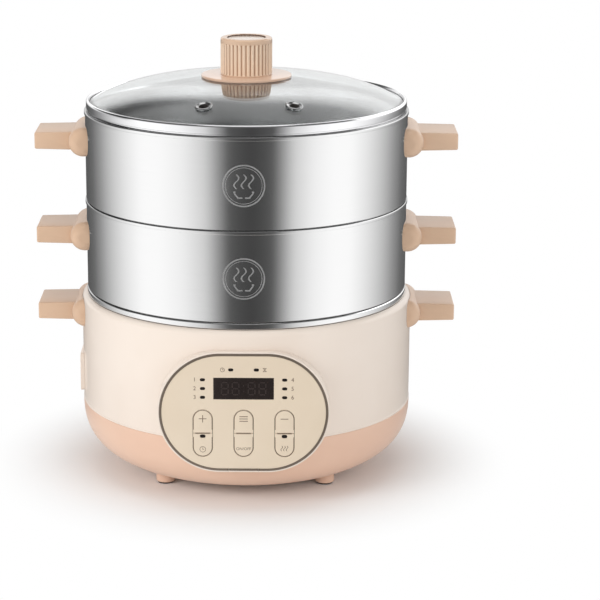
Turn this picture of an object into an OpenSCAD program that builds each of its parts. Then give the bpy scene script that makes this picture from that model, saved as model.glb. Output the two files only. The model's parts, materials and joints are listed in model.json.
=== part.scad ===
// Electric food steamer: heated base with a fixed pot, two lift-off tiers with
// perforated plates, and a domed glass lid. Millimetres, +Z up, front towards -Y.
// The origin is on the surface that the feet stand on, on the axis of the pot.

/* [Housing] */
// Outer radius of the cream upper housing
body_r = 145; // [143:0.5:150]
// Wall thickness of both housings
housing_wall = 2.5; // [2:0.25:3.5]
// Height of the joint between the lower and upper housings
split_z = 61; // [58:1:64]
// Height of the upper housing's flat top
shoulder_z = 157.3; // [155:0.5:160]
// Radius of the rounded shoulder
shoulder_round = 5; // [4:0.5:6]
// Height of the lower housing's flat underside
underside_z = 5; // [4:0.5:6]
// Radius of the flat part of the underside
underside_r = 62.6; // [60:0.2:68]
// Squareness of the lower housing's curve, 2 is an ellipse
belly_power = 2.5; // [2.3:0.1:2.7]
// Distance of each foot from the middle, along X and along Y
foot_at = 69.5; // [66:0.5:73]
// Radius of a foot post
foot_r = 8.2; // [7.5:0.1:10]
// Height of the rubber pad that shows below the post
pad_show = 1.5; // [1:0.25:2.5]
// Number of vent slots on each side
side_vents = 5; // [3:1:7]
// Number of vent slots in the underside
floor_vents = 12; // [8:1:16]

/* [Pot] */
// Space between the pot's wall and the housing's wall
pot_gap = 18.5; // [17:0.5:24]
// Height of the pot's underside
pot_floor_z = 61; // [60:0.5:64]
// Height of the pot's wide neck below its rim
neck_h = 15; // [13:0.5:16]
// Radius of the curve between the pot's wall and its floor
pot_round = 8; // [5:0.5:12]
// Thickness of the seal under the pot's rim
seal_t = 0.4; // [0.3:0.1:0.6]
// Height of the pot's rim band above the seal
pot_rim_h = 5.3; // [4.5:0.1:6.5]

/* [Tiers] */
// Distance that a tier's wall stands in from the housing's
tier_set_in = 5; // [4:0.5:6]
// Height from one tier's seat to the next
tier_h = 77.9; // [70:0.1:90]
// Thickness of the sheet steel
steel_t = 1; // [0.8:0.1:1.2]
// Height of the rolled rim on a tier
rim_h = 3; // [2.5:0.25:4]
// Distance that a rolled rim stands out of the wall
rim_proud = 0.8; // [0.5:0.1:1.2]
// Depth of the collar that nests in the rim below
nest_h = 6; // [5:0.5:8]
// Radial gap between the collar and the rim around it
nest_gap = 0.6; // [0.4:0.1:1]
// Width of the ledge that carries the plate
ledge_w = 7; // [5:0.5:10]
// Radius of a steam hole
steam_hole_r = 3; // [2.5:0.25:3.5]
// Rings of steam holes
steam_rings = 6; // [4:1:7]
// Height of the plate's turned-up edge
plate_edge_h = 3; // [2:0.5:5]

/* [Lid] */
// Height of the lid's rim band
band_h = 6.9; // [6:0.1:8]
// Gap that shows between the band and the rim below it
band_gap = 2.5; // [2:0.1:3]
// Thickness of the glass
glass_t = 4; // [3.5:0.1:4.5]
// Rise of the glass dome above its edge
dome_rise = 23.3; // [20:0.1:28]
// Flatness of the dome's crown, 2 is a parabola
dome_power = 3.2; // [2.8:0.1:3.6]
// Distance of each vent grommet in from the glass's edge
vent_set_in = 31.5; // [26:0.5:42]
// Angle of each vent grommet from the middle of the pair
vent_angle = 20.6; // [15:0.2:25]
// Angle that the pair of grommets is turned from the front
vent_turn = 2.1; // [-5:0.1:5]
// Radius of a vent's hole
vent_hole_r = 4; // [3.5:0.1:4.5]
// Radius of a vent grommet's flange
vent_flange_r = 7.5; // [6.8:0.1:8.2]
// Thickness of a vent grommet's flange
vent_flange_t = 1.3; // [0.9:0.1:1.6]
// Radius of the disc under the knob
flange_r = 39.1; // [34:0.5:44]
// Thickness of the disc under the knob
flange_t = 1.8; // [1.5:0.1:3]
// Radius of the knob
knob_r = 22.3; // [20:0.1:25]
// Height of the knob above its disc
knob_h = 32; // [26:0.5:38]
// Number of flutes round the knob
knob_flutes = 36; // [24:2:44]
// Radius of the cap in the knob's top
cap_r = 16.6; // [14:0.1:17.5]

/* [Handles] */
// Radius of the rounded bar that a grip grows from
bar_r = 12.7; // [11:0.1:14]
// Length of that bar
bar_l = 74; // [66:1:80]
// Distance that a grip reaches out of its tier's wall
grip_reach = 42.5; // [35:0.5:55]
// Width of a grip
grip_w = 47.2; // [42:0.2:52]
// Thickness of a grip where it leaves the bar
grip_t = 16.2; // [14:0.1:18]
// Thickness of a grip at its end
grip_end_t = 14.4; // [12:0.1:17]
// Height of the base's handles
base_grip_z = 141.8; // [138:0.1:143]
// Height of a grip above its tier's seat, lower tier
lower_grip_up = 47.4; // [40:0.1:55]
// Height of a grip above its tier's seat, upper tier
upper_grip_up = 52.6; // [40:0.1:57]
// Angle between a handle's middle and each of its screws
screw_angle = 6; // [5:0.5:8]

/* [Control panel] */
// Distance that the panel's face stands out of the housing
panel_proud = 5; // [4:0.5:8]
// Height of the panel's middle
panel_z = 89; // [88:0.5:92]
// Radius of the panel's round ends, to the outside of its ring
panel_r = 50.8; // [49.5:0.1:52]
// Half the straight stretch between those ends
panel_half = 19.5; // [18:0.5:22]
// Width of the taupe ring
ring_w = 2.2; // [1.8:0.1:3]
// Width of the frame's lip around the ring
lip_w = 1.4; // [1.2:0.1:2.5]
// Thickness of the fascia
fascia_t = 2; // [1.8:0.1:2.4]
// Width of the display window
window_w = 50; // [46:0.5:52]
// Height of the display window
window_h = 18.6; // [16:0.2:19]
// Height of the window's middle above the panel's middle
window_up = 20.9; // [20:0.1:22]
// Distance between the columns of keys
key_pitch = 34; // [32:0.5:36]
// Width of a key
key_w = 16.1; // [14:0.1:17]
// Height of a pair of keys
pair_h = 40.6; // [38:0.2:43]
// Height of the gap between a pair's keys, from the panel's middle
pair_gap_up = -17.9; // [-19:0.1:-17]
// Gap around a key
key_gap = 0.35; // [0.3:0.05:0.5]
// Distance that a key travels
key_travel = 0.6; // [0.4:0.1:0.8]
// Width of an indicator
lamp_w = 4.2; // [4:0.1:5]
// Height of an indicator
lamp_h = 2.5; // [2:0.1:2.8]

/* [Power inlet] */
// Height of the inlet's middle
inlet_z = 86; // [84:0.5:90]
// Width of the inlet's face
inlet_w = 54; // [52:0.5:58]
// Height of the inlet's face
inlet_h = 34; // [30:0.5:36]
// Width of the socket
socket_w = 28; // [26:0.5:30]
// Height of the socket
socket_h = 18; // [16:0.5:19]
// Depth of the socket
socket_d = 13; // [12:0.5:14]
// Radius of a pin
pin_r = 2; // [1.8:0.1:2.4]

/* [Heater and boards] */
// Radius of the heater plate
heater_r = 75; // [65:1:85]
// Thickness of the heater plate
heater_t = 6; // [5:0.5:7]
// Radius of the element's loop
element_r = 55; // [45:1:60]
// Radius of the element's tube
element_tube_r = 3.2; // [2.8:0.1:3.8]
// Space between the heat shield's edge and the screw bosses around it
shield_gap = 6.75; // [5.5:0.25:12]
// Height of the heat shield's floor
shield_z = 40; // [39:0.5:42]
// Height of the power board
board_z = 20; // [18:0.5:21]
// Width of the power board
board_w = 90; // [86:1:96]
// Depth of the power board
board_d = 60; // [56:1:64]
// Thickness of both circuit boards
board_t = 1.6; // [1.2:0.1:2]

/* [Hidden] */
$fn = 96;

// Clearances
eps = 0.01;         // overlap of pieces that are fused into one
seat_gap = 0.1;     // between fixed pieces that touch along a curve
slip_gap = 0.3;     // between pieces that slide past each other
through = 30;       // length of a cutter that runs out of both faces of a wall

// Screws
handle_screw_r = 1.9;
handle_screw_l = 9;
small_screw_r = 1.25;
panel_screw_r = 1;
shield_screw_l = 10;
board_screw_l = 6;
inlet_screw_l = 6;
panel_screw_l = 6;
housing_screw_grip = 12; // length of a housing screw in the upper housing's boss
pilot_more = 1;     // extra depth of a pilot hole past its screw's tip

// Colours
CREAM = [0.95, 0.91, 0.88];
PINK = [0.90, 0.76, 0.69];
BEIGE = [0.84, 0.70, 0.59];
TAUPE = [0.47, 0.42, 0.36];
FASCIA = [0.89, 0.85, 0.79];
STEEL = [0.78, 0.78, 0.80];
DARK = [0.12, 0.11, 0.12];
BRASS = [0.80, 0.68, 0.40];
BOARD_GREEN = [0.13, 0.38, 0.22];

// Radii that follow the housing's, and heights from the ground up
pot_r = body_r - housing_wall - pot_gap;
tier_r = body_r - tier_set_in;
panel_y = body_r + panel_proud;
grip_end = tier_r + grip_reach;
belly_h = split_z - underside_z;
belly_w = body_r + 0.3 - underside_r;
rim_seat_z = shoulder_z + seal_t;
base_h = rim_seat_z + pot_rim_h;
lower_seat_z = base_h;
upper_seat_z = base_h + tier_h;
lid_seat_z = base_h + 2 * tier_h;
tier_in_r = tier_r - steel_t;
rim_in_r = tier_in_r - 1.4;
rim_out_r = tier_r + rim_proud;
nest_r = rim_in_r - nest_gap;
ledge_r = nest_r - steel_t - ledge_w;
plate_r = nest_r - steel_t - nest_gap + 0.1;
pot_rim_r = tier_r + 0.4;
pot_neck_r = rim_in_r + steel_t;
neck_floor_z = base_h - neck_h;
lid_band_r = tier_r - 1;
lid_band_z = lid_seat_z + band_gap;
glass_edge_r = lid_band_r - 1.5;
vent_at = glass_edge_r - vent_set_in;
dome_r = lid_band_r + 0.6;
dome_z = lid_band_z + 2;
crown_z = dome_z + dome_rise;
flange_z = crown_z + seat_gap;
knob_z = flange_z + flange_t;
knob_top_z = knob_z + knob_h;
cap_recess = 2;
knob_screw_r = 2.5;

// Outer radius of the belly at an angle up from its underside, and its height there
function belly(a, inset) = [
    underside_r + (belly_w - inset) * pow(cos(a), 2 / belly_power),
    split_z - (belly_h - inset) * pow(sin(a), 2 / belly_power)
];
// Outer radius of the lower housing at a height
function belly_r_at(z) = underside_r
    + belly_w * pow(1 - pow((split_z - z) / belly_h, belly_power), 1 / belly_power);
// Height of the underside at a radius
function belly_z_at(r, inset = 0) = split_z - (belly_h - inset)
    * pow(1 - pow((r - underside_r) / (belly_w - inset), belly_power), 1 / belly_power);
function dome_z_at(r) = dome_z + dome_rise * (1 - pow(r / dome_r, dome_power));
function dome_slope(r) = atan(dome_rise * dome_power * pow(r / dome_r, dome_power - 1) / dome_r);

// ---------- shared shapes ----------

// A rectangle in a turned profile: from radius r0 to r1, and from height z0 to z1
module band(r0, r1, z0, z1) {
    translate([r0, z0]) square([r1 - r0, z1 - z0]);
}

// The same with its corners rounded
module soft_band(r0, r1, z0, z1, round) {
    band(r0 + round, r1 - round, z0, z1);
    band(r0, r1, z0 + round, z1 - round);
    for (r = [r0 + round, r1 - round], z = [z0 + round, z1 - round])
        translate([r, z]) circle(round);
}

// A rounded plate outline, centred
module soft_rect(w, h, round) {
    square([w - 2 * round, h], center = true);
    square([w, h - 2 * round], center = true);
    for (x = [-1, 1], y = [-1, 1])
        translate([x * (w / 2 - round), y * (h / 2 - round)]) circle(round);
}

// Solid of the lower housing's outline, grown or shrunk by an inset
module belly_shape(inset) {
    steps = 20;
    polygon(concat(
        [[0, split_z], [0, underside_z + inset]],
        [for (i = [steps:-1:0]) belly(90 * i / steps, inset)]
    ));
}

// Half profile of the housing's whole outside, grown by a gap
module housing_outline(gap) {
    belly_shape(-gap);
    band(0, body_r + gap, split_z - eps, shoulder_z);
}

// Stands a flat outline in front of the axis, from depth y0 back to y1 (both positive)
module stand_front(y0, y1) {
    translate([0, -y1, panel_z]) rotate([90, 0, 0]) linear_extrude(y0 - y1) children();
}

// Outline with round ends, as the panel has
module panel_outline(r) {
    square([2 * panel_half, 2 * r], center = true);
    for (x = [-panel_half, panel_half]) translate([x, 0]) circle(r);
}

// A pan-head screw along +Z, its head's underside at z = 0
module screw(shank_r, shank_l, head_r, head_h) {
    translate([0, 0, -head_h]) cylinder(r = head_r, h = head_h);
    translate([0, 0, -eps]) cylinder(r = shank_r, h = shank_l + eps);
}

// ---------- housing ----------

housing_boss_r = 4.5;
housing_boss_at = (pot_r + body_r - housing_wall) / 2;
housing_boss_angles = [40, 140, 220, 320];
housing_screw_r = 1.6;
housing_screw_z = belly_z_at(housing_boss_at) + 8;
boss_joint_z = shield_z;
tongue_gap = 0.2;
panel_hole_r = panel_r - ring_w - 0.3;
inlet_body_w = socket_w + 8;
inlet_body_h = socket_h + 6;
shield_r = housing_boss_at - housing_boss_r - shield_gap;
shield_boss_at = shield_r - 20;
shield_boss_angles = [90, 210, 330];
board_y = 42;
board_post_r = 3.5;

module vent_slots() {
    for (side = [0, 180], i = [0:side_vents - 1])
        rotate([0, 0, side + (i - (side_vents - 1) / 2) * 6])
            translate([underside_r + belly_w - 30, -1.25, 14]) cube([30, 2.5, 7]);
    for (i = [0:floor_vents - 1])
        rotate([0, 0, (i + 0.5) * 360 / floor_vents])
            translate([30, -1.5, 0]) cube([24, 3, underside_z + 2 * housing_wall]);
}

module panel_opening() {
    stand_front(panel_y + 10, body_r - 60) panel_outline(panel_hole_r);
}

module at_housing_bosses() {
    for (a = housing_boss_angles) rotate([0, 0, a]) translate([housing_boss_at, 0, 0]) children();
}

module at_shield_bosses() {
    for (a = shield_boss_angles) rotate([0, 0, a]) translate([shield_boss_at, 0, 0]) children();
}

module at_board_posts() {
    for (x = [-1, 1], y = [-1, 1])
        translate([x * (board_w / 2 - 5), board_y + y * (board_d / 2 - 5), 0]) children();
}

module at_feet() {
    for (x = [-foot_at, foot_at], y = [-foot_at, foot_at]) translate([x, y, 0]) children();
}

foot_top_z = belly_z_at(foot_at * sqrt(2) + foot_r) + 0.5;

module lower_housing() {
    color(PINK) difference() {
        union() {
            difference() {
                rotate_extrude() belly_shape(0);
                rotate_extrude() {
                    belly_shape(housing_wall);
                    band(0, body_r - housing_wall, split_z - 1, split_z + 1);
                }
            }
            at_feet() translate([0, 0, pad_show]) cylinder(r = foot_r, h = foot_top_z - pad_show);
            intersection() {
                union() {
                    at_housing_bosses() {
                        cylinder(r = housing_boss_r, h = boss_joint_z - seat_gap);
                        translate([0, -1, 0]) cube([12, 2, boss_joint_z - seat_gap]);
                    }
                    at_shield_bosses() cylinder(r = 4, h = shield_z);
                    at_board_posts() cylinder(r = board_post_r, h = board_z);
                }
                rotate_extrude() belly_shape(0.5);
            }
        }
        vent_slots();
        panel_opening();
        at_feet() translate([0, 0, -1]) cylinder(r = foot_r - 1.2, h = pad_show + 2.5);
        at_housing_bosses() {
            translate([0, 0, -1]) cylinder(r = 3.4, h = housing_screw_z + 1);
            cylinder(r = housing_screw_r + 0.1, h = boss_joint_z + 1);
        }
        at_shield_bosses() translate([0, 0, shield_z - shield_screw_l])
            cylinder(r = small_screw_r + 0.05, h = shield_screw_l + pilot_more);
        at_board_posts() translate([0, 0, board_z - board_screw_l])
            cylinder(r = small_screw_r + 0.05, h = board_screw_l + pilot_more);
    }
}

module upper_housing() {
    tongue_r = body_r - housing_wall - tongue_gap;
    color(CREAM) difference() {
        union() {
            rotate_extrude() difference() {
                union() {
                    band(0, body_r, split_z, shoulder_z - shoulder_round);
                    band(0, body_r - shoulder_round, split_z, shoulder_z);
                    translate([body_r - shoulder_round, shoulder_z - shoulder_round])
                        circle(shoulder_round);
                    band(0, body_r + 0.3, split_z, split_z + 1.5);
                }
                band(0, body_r - housing_wall, split_z - 1, shoulder_z - shoulder_round);
                band(0, body_r - shoulder_round, split_z - 1, shoulder_z - housing_wall);
                translate([body_r - shoulder_round, shoulder_z - shoulder_round])
                    circle(shoulder_round - housing_wall);
                band(0, pot_neck_r + slip_gap, 0, shoulder_z + 1);
            }
            rotate_extrude() band(tongue_r - 2, tongue_r, split_z - 4, split_z + 2);
            rotate_extrude() band(tongue_r - 2, body_r - 1, split_z, split_z + 2);
            at_housing_bosses() {
                translate([0, 0, boss_joint_z]) cylinder(r = housing_boss_r, h = 45);
                translate([0, -1, split_z + 1]) cube([body_r - housing_wall + 1 - housing_boss_at, 2, 24]);
            }
        }
        panel_opening();
        at_housing_bosses() translate([0, 0, boss_joint_z - 1])
            cylinder(r = housing_screw_r + 0.05, h = housing_screw_grip + pilot_more + 1);
        translate([-body_r - 5, -inlet_body_w / 2 - seat_gap, inlet_z - inlet_body_h / 2 - seat_gap])
            cube([through, inlet_body_w + 2 * seat_gap, inlet_body_h + 2 * seat_gap]);
        at_inlet_screws() cylinder(r = small_screw_r + 0.05, h = through, center = true);
        at_handle_screws(base_grip_z) translate([body_r, 0, 0]) rotate([0, 90, 0])
            cylinder(r = handle_screw_r + 0.1, h = through, center = true);
    }
}

module housing_screws() {
    color(STEEL) at_housing_bosses() translate([0, 0, housing_screw_z]) {
        screw(housing_screw_r, boss_joint_z + housing_screw_grip - housing_screw_z, 3.2, 2.4);
    }
}

module foot_pads() {
    color(DARK) at_feet() cylinder(r = foot_r - 1.3, h = pad_show + 1.5);
}

// ---------- pot ----------

module pot_shape(inset) {
    wall_r = pot_r - inset;
    floor_z = pot_floor_z + inset;
    step_z = neck_floor_z + inset;
    band(0, pot_neck_r - inset, step_z, base_h + inset);
    band(0, wall_r, pot_floor_z + pot_round, step_z + eps);
    band(0, pot_r - pot_round, floor_z, pot_floor_z + pot_round + eps);
    intersection() {
        translate([pot_r - pot_round, pot_floor_z + pot_round]) circle(pot_round - inset);
        band(0, pot_r, pot_floor_z, pot_floor_z + pot_round + 1);
    }
}

module cooking_pot() {
    color(STEEL) rotate_extrude() {
        difference() {
            union() {
                pot_shape(0);
                soft_band(rim_in_r, pot_rim_r, rim_seat_z, base_h, 0.6);
                band(rim_in_r, pot_rim_r - 0.6, rim_seat_z, base_h);
            }
            pot_shape(steel_t);
        }
    }
}

module pot_seal() {
    color(DARK) rotate_extrude()
        band(pot_neck_r + slip_gap, body_r - shoulder_round, shoulder_z, rim_seat_z);
}

// ---------- heater ----------

element_z = pot_floor_z - heater_t - element_tube_r - 0.05;
sensor_r = 9;
sensor_head_h = 5;
spacer_at = element_r + element_tube_r + 6;
element_gap_angle = 40;
shield_lip_h = 14;

module heater_plate() {
    color(STEEL) difference() {
        translate([0, 0, pot_floor_z - heater_t]) cylinder(r = heater_r, h = heater_t);
        translate([0, 0, pot_floor_z - heater_t - 1]) cylinder(r = sensor_r + 1, h = heater_t + 2);
    }
}

module heating_element() {
    color(STEEL) {
        rotate([0, 0, element_gap_angle / 2 + 90])
            rotate_extrude(angle = 360 - element_gap_angle)
                translate([element_r, element_z]) circle(element_tube_r);
        for (side = [-1, 1]) rotate([0, 0, 90 + side * element_gap_angle / 2])
            translate([element_r, 0, shield_z - 6])
                cylinder(r = element_tube_r - 0.2, h = element_z - shield_z + 6);
    }
}

module at_spacers() {
    for (a = [0, 120, 240]) rotate([0, 0, a + 30]) translate([spacer_at, 0, 0]) children();
}

module heater_spacers() {
    color(STEEL) at_spacers() translate([0, 0, shield_z + steel_t])
        cylinder(r = 3, h = pot_floor_z - heater_t - shield_z - steel_t);
}

module heat_shield() {
    color(STEEL) difference() {
        union() {
            translate([0, 0, shield_z]) cylinder(r = shield_r, h = steel_t);
            rotate_extrude() band(shield_r - steel_t, shield_r, shield_z, shield_z + shield_lip_h);
        }
        for (side = [-1, 1]) rotate([0, 0, 90 + side * element_gap_angle / 2])
            translate([element_r, 0, shield_z - 1]) cylinder(r = element_tube_r + 1, h = 4);
        at_shield_bosses() translate([0, 0, shield_z - 1]) cylinder(r = 1.7, h = 4);
    }
}

module shield_screws() {
    color(STEEL) at_shield_bosses() translate([0, 0, shield_z + steel_t])
        rotate([180, 0, 0]) screw(small_screw_r, shield_screw_l, 3, 2);
}

module temperature_sensor() {
    color(STEEL) {
        translate([0, 0, pot_floor_z - sensor_head_h]) cylinder(r = sensor_r, h = sensor_head_h);
        translate([0, 0, shield_z + steel_t])
            cylinder(r = sensor_r - 3, h = pot_floor_z - sensor_head_h + eps - shield_z - steel_t);
    }
}

module thermal_cutout() {
    color(DARK) translate([0, -spacer_at + 28, pot_floor_z - heater_t - 9]) {
        cylinder(r = 8, h = 9);
        translate([-1.5, -11, 2]) cube([3, 22, 1]);
    }
}

// ---------- power board ----------

board_top_z = board_z + board_t;

module board_block(x, y, w, d, h) {
    translate([x - w / 2, board_y + y - d / 2, board_top_z]) cube([w, d, h]);
}

module power_board() {
    color(BOARD_GREEN) difference() {
        translate([-board_w / 2, board_y - board_d / 2, board_z]) cube([board_w, board_d, board_t]);
        at_board_posts() translate([0, 0, board_z - 1]) cylinder(r = 1.6, h = board_t + 2);
    }
}

module board_screws() {
    color(STEEL) at_board_posts() translate([0, 0, board_top_z]) rotate([180, 0, 0])
        screw(small_screw_r, board_screw_l, 2.8, 1.8);
}

module transformer() {
    color("goldenrod") board_block(22, -7, 24, 22, 14);
    color(DARK) board_block(22, -7, 28, 12, 9);
}

module relay() {
    color("royalblue") board_block(-6, 10, 19, 15, 14);
}

module capacitor() {
    color(DARK) translate([-2, board_y - 14, board_top_z]) cylinder(r = 6, h = 13);
}

terminal_x = -31;
terminal_d = 34;

module terminal_block() {
    color("white") board_block(terminal_x, 0, 10, terminal_d, 9);
}

// ---------- leads ----------

inlet_back_x = body_r + 1.2 - socket_d - 3;
pin_z = inlet_z - 4;
pin_pitch = 9;
lead_r = 1.1;
tail_x = inlet_back_x - 2;
lead_floor_z = board_top_z + 5;
lead_turn_z = max(lead_floor_z, belly_z_at(tail_x + lead_r, housing_wall) + lead_r + slip_gap + 0.1);

// A lead from point to point: straight lengths with round corners
module lead(route, r) {
    for (i = [0:len(route) - 2]) {
        along = route[i + 1] - route[i];
        length = norm(along);
        translate(route[i])
            rotate([0, acos(along[2] / length), atan2(along[1], along[0])])
                cylinder(r = r, h = length);
        if (i > 0) translate(route[i]) sphere(r);
    }
}

module wiring() {
    for (i = [-1:1])
        color(i == -1 ? "saddlebrown" : i == 0 ? "royalblue" : "olivedrab")
            lead([
                [-tail_x, i * pin_pitch, pin_z - pin_r],
                [-tail_x, i * pin_pitch, lead_turn_z],
                [terminal_x - 5, board_y + i * pin_pitch, lead_floor_z]
            ], lead_r);
    for (side = [-1, 1])
        color("firebrick") rotate([0, 0, 90 + side * element_gap_angle / 2])
            translate([element_r, 0, board_top_z]) cylinder(r = lead_r, h = shield_z - 6 - board_top_z);
}

// ---------- control panel ----------

fascia_r = panel_r - ring_w - 0.15;
face_back_y = panel_y - fascia_t;
tray_r = panel_hole_r - 0.2;
tray_wall = 2;
tray_back_y = body_r - 5;
board_face_y = panel_y - 9;
board_back_y = board_face_y - board_t;
panel_board_r = tray_r - tray_wall - 0.6;
lamp_x = key_pitch;
lamp_pitch = 7.6;
lamp_rows = [for (i = [1:-1:-1]) window_up + i * lamp_pitch];
top_lamp_x = 10.6;
top_lamp_up = 37.1;
key_lamp_up = pair_gap_up - 2.6;
post_at = panel_board_r - 4.8;
post_angles = [37, -41];
post_r = 3;
lamp_spots = concat(
    [for (x = [-top_lamp_x, top_lamp_x]) [x, top_lamp_up]],
    [for (x = [-lamp_x, lamp_x], up = lamp_rows) [x, up]]
);
key_lamp_spots = [for (x = [-key_pitch, key_pitch]) [x, key_lamp_up]];
flange_w = 1;
switch_w = 6;
switch_h = 3.6;
stem_r = 1.6;
stem_in = 0.4;      // depth of a stem in its switch at rest

module panel_frame() {
    color(CREAM) {
        difference() {
            union() {
                stand_front(panel_y - 0.3, body_r - 60) panel_outline(panel_r + lip_w);
            }
            stand_front(panel_y + 1, face_back_y) panel_outline(panel_r + 0.15);
            stand_front(panel_y + 1, body_r - 61) panel_outline(tray_r - tray_wall);
            stand_front(face_back_y - 2, body_r - 61) panel_outline(panel_r);
            rotate_extrude() housing_outline(seat_gap);
        }
        stand_front(face_back_y, tray_back_y) difference() {
            panel_outline(tray_r);
            panel_outline(tray_r - tray_wall);
        }
        for (x = [-14, 14], side = [-1, 1]) panel_hook(x, side);
    }
}

// Snap hook that reaches through the opening and grips behind the housing's wall
module panel_hook(x, side) {
    wall_r = side > 0 ? body_r : belly_r_at(panel_z - tray_r);
    hook_y = sqrt(pow(wall_r - housing_wall, 2) - x * x) - 0.4;
    up = side * (tray_r - tray_wall);
    translate([x - 4, -tray_back_y - 1, panel_z + min(up, up + side * tray_wall)])
        cube([8, tray_back_y + 1 - hook_y + 3, tray_wall]);
    translate([x - 4, -hook_y, panel_z + min(up, up + side * (tray_wall + 1.5))])
        cube([8, 3, tray_wall + 1.5]);
}

module panel_ring() {
    color(TAUPE) stand_front(panel_y + 0.2, face_back_y) difference() {
        panel_outline(panel_r);
        panel_outline(panel_r - ring_w);
        for (x = [-12.3, 12.3]) translate([x, -panel_r]) square([0.8, 2.4 * ring_w], center = true);
    }
}

// Outline of an upper key: an arch over straight sides, grown by a rim
module key_outline(rim, foot) {
    arch = key_w / 2;
    translate([0, pair_gap_up + key_gap / 2 + pair_top_h() - arch]) circle(arch + rim);
    translate([-arch - rim, pair_gap_up + key_gap / 2 - foot])
        square([key_w + 2 * rim, pair_top_h() - arch + foot]);
}
// Height of one key of a pair
function pair_top_h() = (pair_h - key_gap) / 2;

// A lower key is the same, turned over about the gap between the two
module flip_key(lower) {
    if (lower) translate([0, 2 * pair_gap_up]) mirror([0, 1]) children();
    else children();
}

// The four posts that carry the control board, seen from the front
module at_posts() {
    for (side = [0, 1], a = post_angles)
        mirror([side, 0, 0]) translate([panel_half + post_at * cos(a), post_at * sin(a), 0]) children();
}

module lamp_outline(gap) {
    soft_rect(lamp_w + 2 * gap, lamp_h + 2 * gap, lamp_h / 2 + gap - 0.01);
}

module panel_fascia() {
    color(FASCIA) difference() {
        union() {
            stand_front(panel_y, face_back_y) panel_outline(fascia_r);
            stand_front(face_back_y + eps, board_face_y) at_posts() circle(post_r);
        }
        stand_front(panel_y + 1, face_back_y - 1) {
            translate([0, window_up]) square([window_w + 0.2, window_h + 0.2], center = true);
            for (spot = lamp_spots) translate(spot) lamp_outline(0.1);
            for (x = [-key_pitch, 0, key_pitch], lower = [false, true])
                translate([x, 0]) flip_key(lower) key_outline(key_gap, key_gap);
        }
        stand_front(panel_y - 4, board_face_y - 1) at_posts() circle(panel_screw_r + 0.1);
    }
}

module key(x, lower, lamp) {
    color(FASCIA) difference() {
        union() {
            stand_front(panel_y + 0.15, face_back_y - slip_gap - eps)
                translate([x, 0]) flip_key(lower) key_outline(0, 0);
            stand_front(face_back_y - slip_gap, face_back_y - slip_gap - 1)
                translate([x, 0]) flip_key(lower) key_outline(flange_w, 0);
            stand_front(face_back_y - slip_gap - 0.5, board_face_y + switch_h - stem_in)
                translate([x, key_middle(lower)]) circle(stem_r);
        }
        if (lamp) stand_front(panel_y + 1, board_face_y) translate([x, key_lamp_up])
            lamp_outline(slip_gap);
    }
}
function key_middle(lower) = pair_gap_up + (lower ? -1 : 1) * (pair_top_h() / 2 + (lower ? 2 : 0));

module key_plus() key(-key_pitch, false, false);
module key_menu() key(0, false, false);
module key_minus() key(key_pitch, false, false);
module key_preset() key(-key_pitch, true, true);
module key_power() key(0, true, false);
module key_warm() key(key_pitch, true, true);

module display_window() {
    color(DARK) stand_front(panel_y, face_back_y) translate([0, window_up])
        square([window_w, window_h], center = true);
}

module display_module() {
    color(DARK) stand_front(face_back_y, board_face_y) translate([0, window_up])
        square([window_w - 1, window_h - 1], center = true);
}

lamp_body_h = 2.5;

module indicator_lenses() {
    color(DARK) for (spot = concat(lamp_spots, key_lamp_spots))
        stand_front(panel_y, board_face_y + lamp_body_h) translate(spot) lamp_outline(0);
}

module indicator_lamps() {
    color("whitesmoke") for (spot = concat(lamp_spots, key_lamp_spots))
        stand_front(board_face_y + lamp_body_h, board_face_y) translate(spot)
            square([3.2, 1.6], center = true);
}

module control_board() {
    color(BOARD_GREEN) stand_front(board_face_y, board_back_y) difference() {
        panel_outline(panel_board_r);
        at_posts() circle(panel_screw_r + 0.3);
    }
}

module control_board_screws() {
    color(STEEL) translate([0, -board_back_y, panel_z]) rotate([90, 0, 0]) at_posts()
        screw(panel_screw_r, panel_screw_l, 2.4, 1.5);
}

module at_switches() {
    for (x = [-key_pitch, 0, key_pitch], lower = [false, true])
        translate([x, key_middle(lower)]) children();
}

// Each switch has a well that the key's stem sinks into as the key travels
module tact_switches() {
    well_d = stem_in + key_travel + slip_gap;
    color(DARK) difference() {
        stand_front(board_face_y + switch_h, board_face_y) at_switches() square(switch_w, center = true);
        stand_front(board_face_y + switch_h + 1, board_face_y + switch_h - well_d)
            at_switches() circle(stem_r + slip_gap);
    }
}

// ---------- power inlet ----------

inlet_screw_at = inlet_w / 2 - 3;

module at_inlet_screws() {
    for (y = [-inlet_screw_at, inlet_screw_at])
        translate([-body_r - 0.2, y, inlet_z]) rotate([0, 90, 0]) children();
}

module stand_left(x0, x1) {
    translate([-x0, 0, inlet_z]) rotate([90, 0, 90]) linear_extrude(x0 - x1) children();
}

module power_inlet() {
    face_x = body_r + 1.2;
    color(CREAM) difference() {
        union() {
            difference() {
                stand_left(face_x, body_r - 8) soft_rect(inlet_w, inlet_h, 5);
                rotate_extrude() housing_outline(seat_gap);
            }
            stand_left(face_x - 0.5, inlet_back_x) square([inlet_body_w, inlet_body_h], center = true);
        }
        stand_left(face_x + 1, face_x - socket_d) soft_rect(socket_w, socket_h, 2.5);
        at_inlet_screws() {
            cylinder(r = small_screw_r + 0.15, h = through, center = true);
            translate([0, 0, -6]) cylinder(r = 2.5, h = 6.2);
        }
        for (i = [-1:1]) translate([-face_x, i * pin_pitch, pin_z]) rotate([0, 90, 0])
            cylinder(r = pin_r + 0.02, h = through);
    }
}

module inlet_pins() {
    color(BRASS) for (i = [-1:1]) translate([-(body_r - 3), i * pin_pitch, pin_z]) rotate([0, 90, 0])
        cylinder(r = pin_r, h = body_r - 3 - tail_x + lead_r);
}

module inlet_screws() {
    color(STEEL) at_inlet_screws() screw(small_screw_r, inlet_screw_l, 2.3, 0.9);
}

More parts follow.
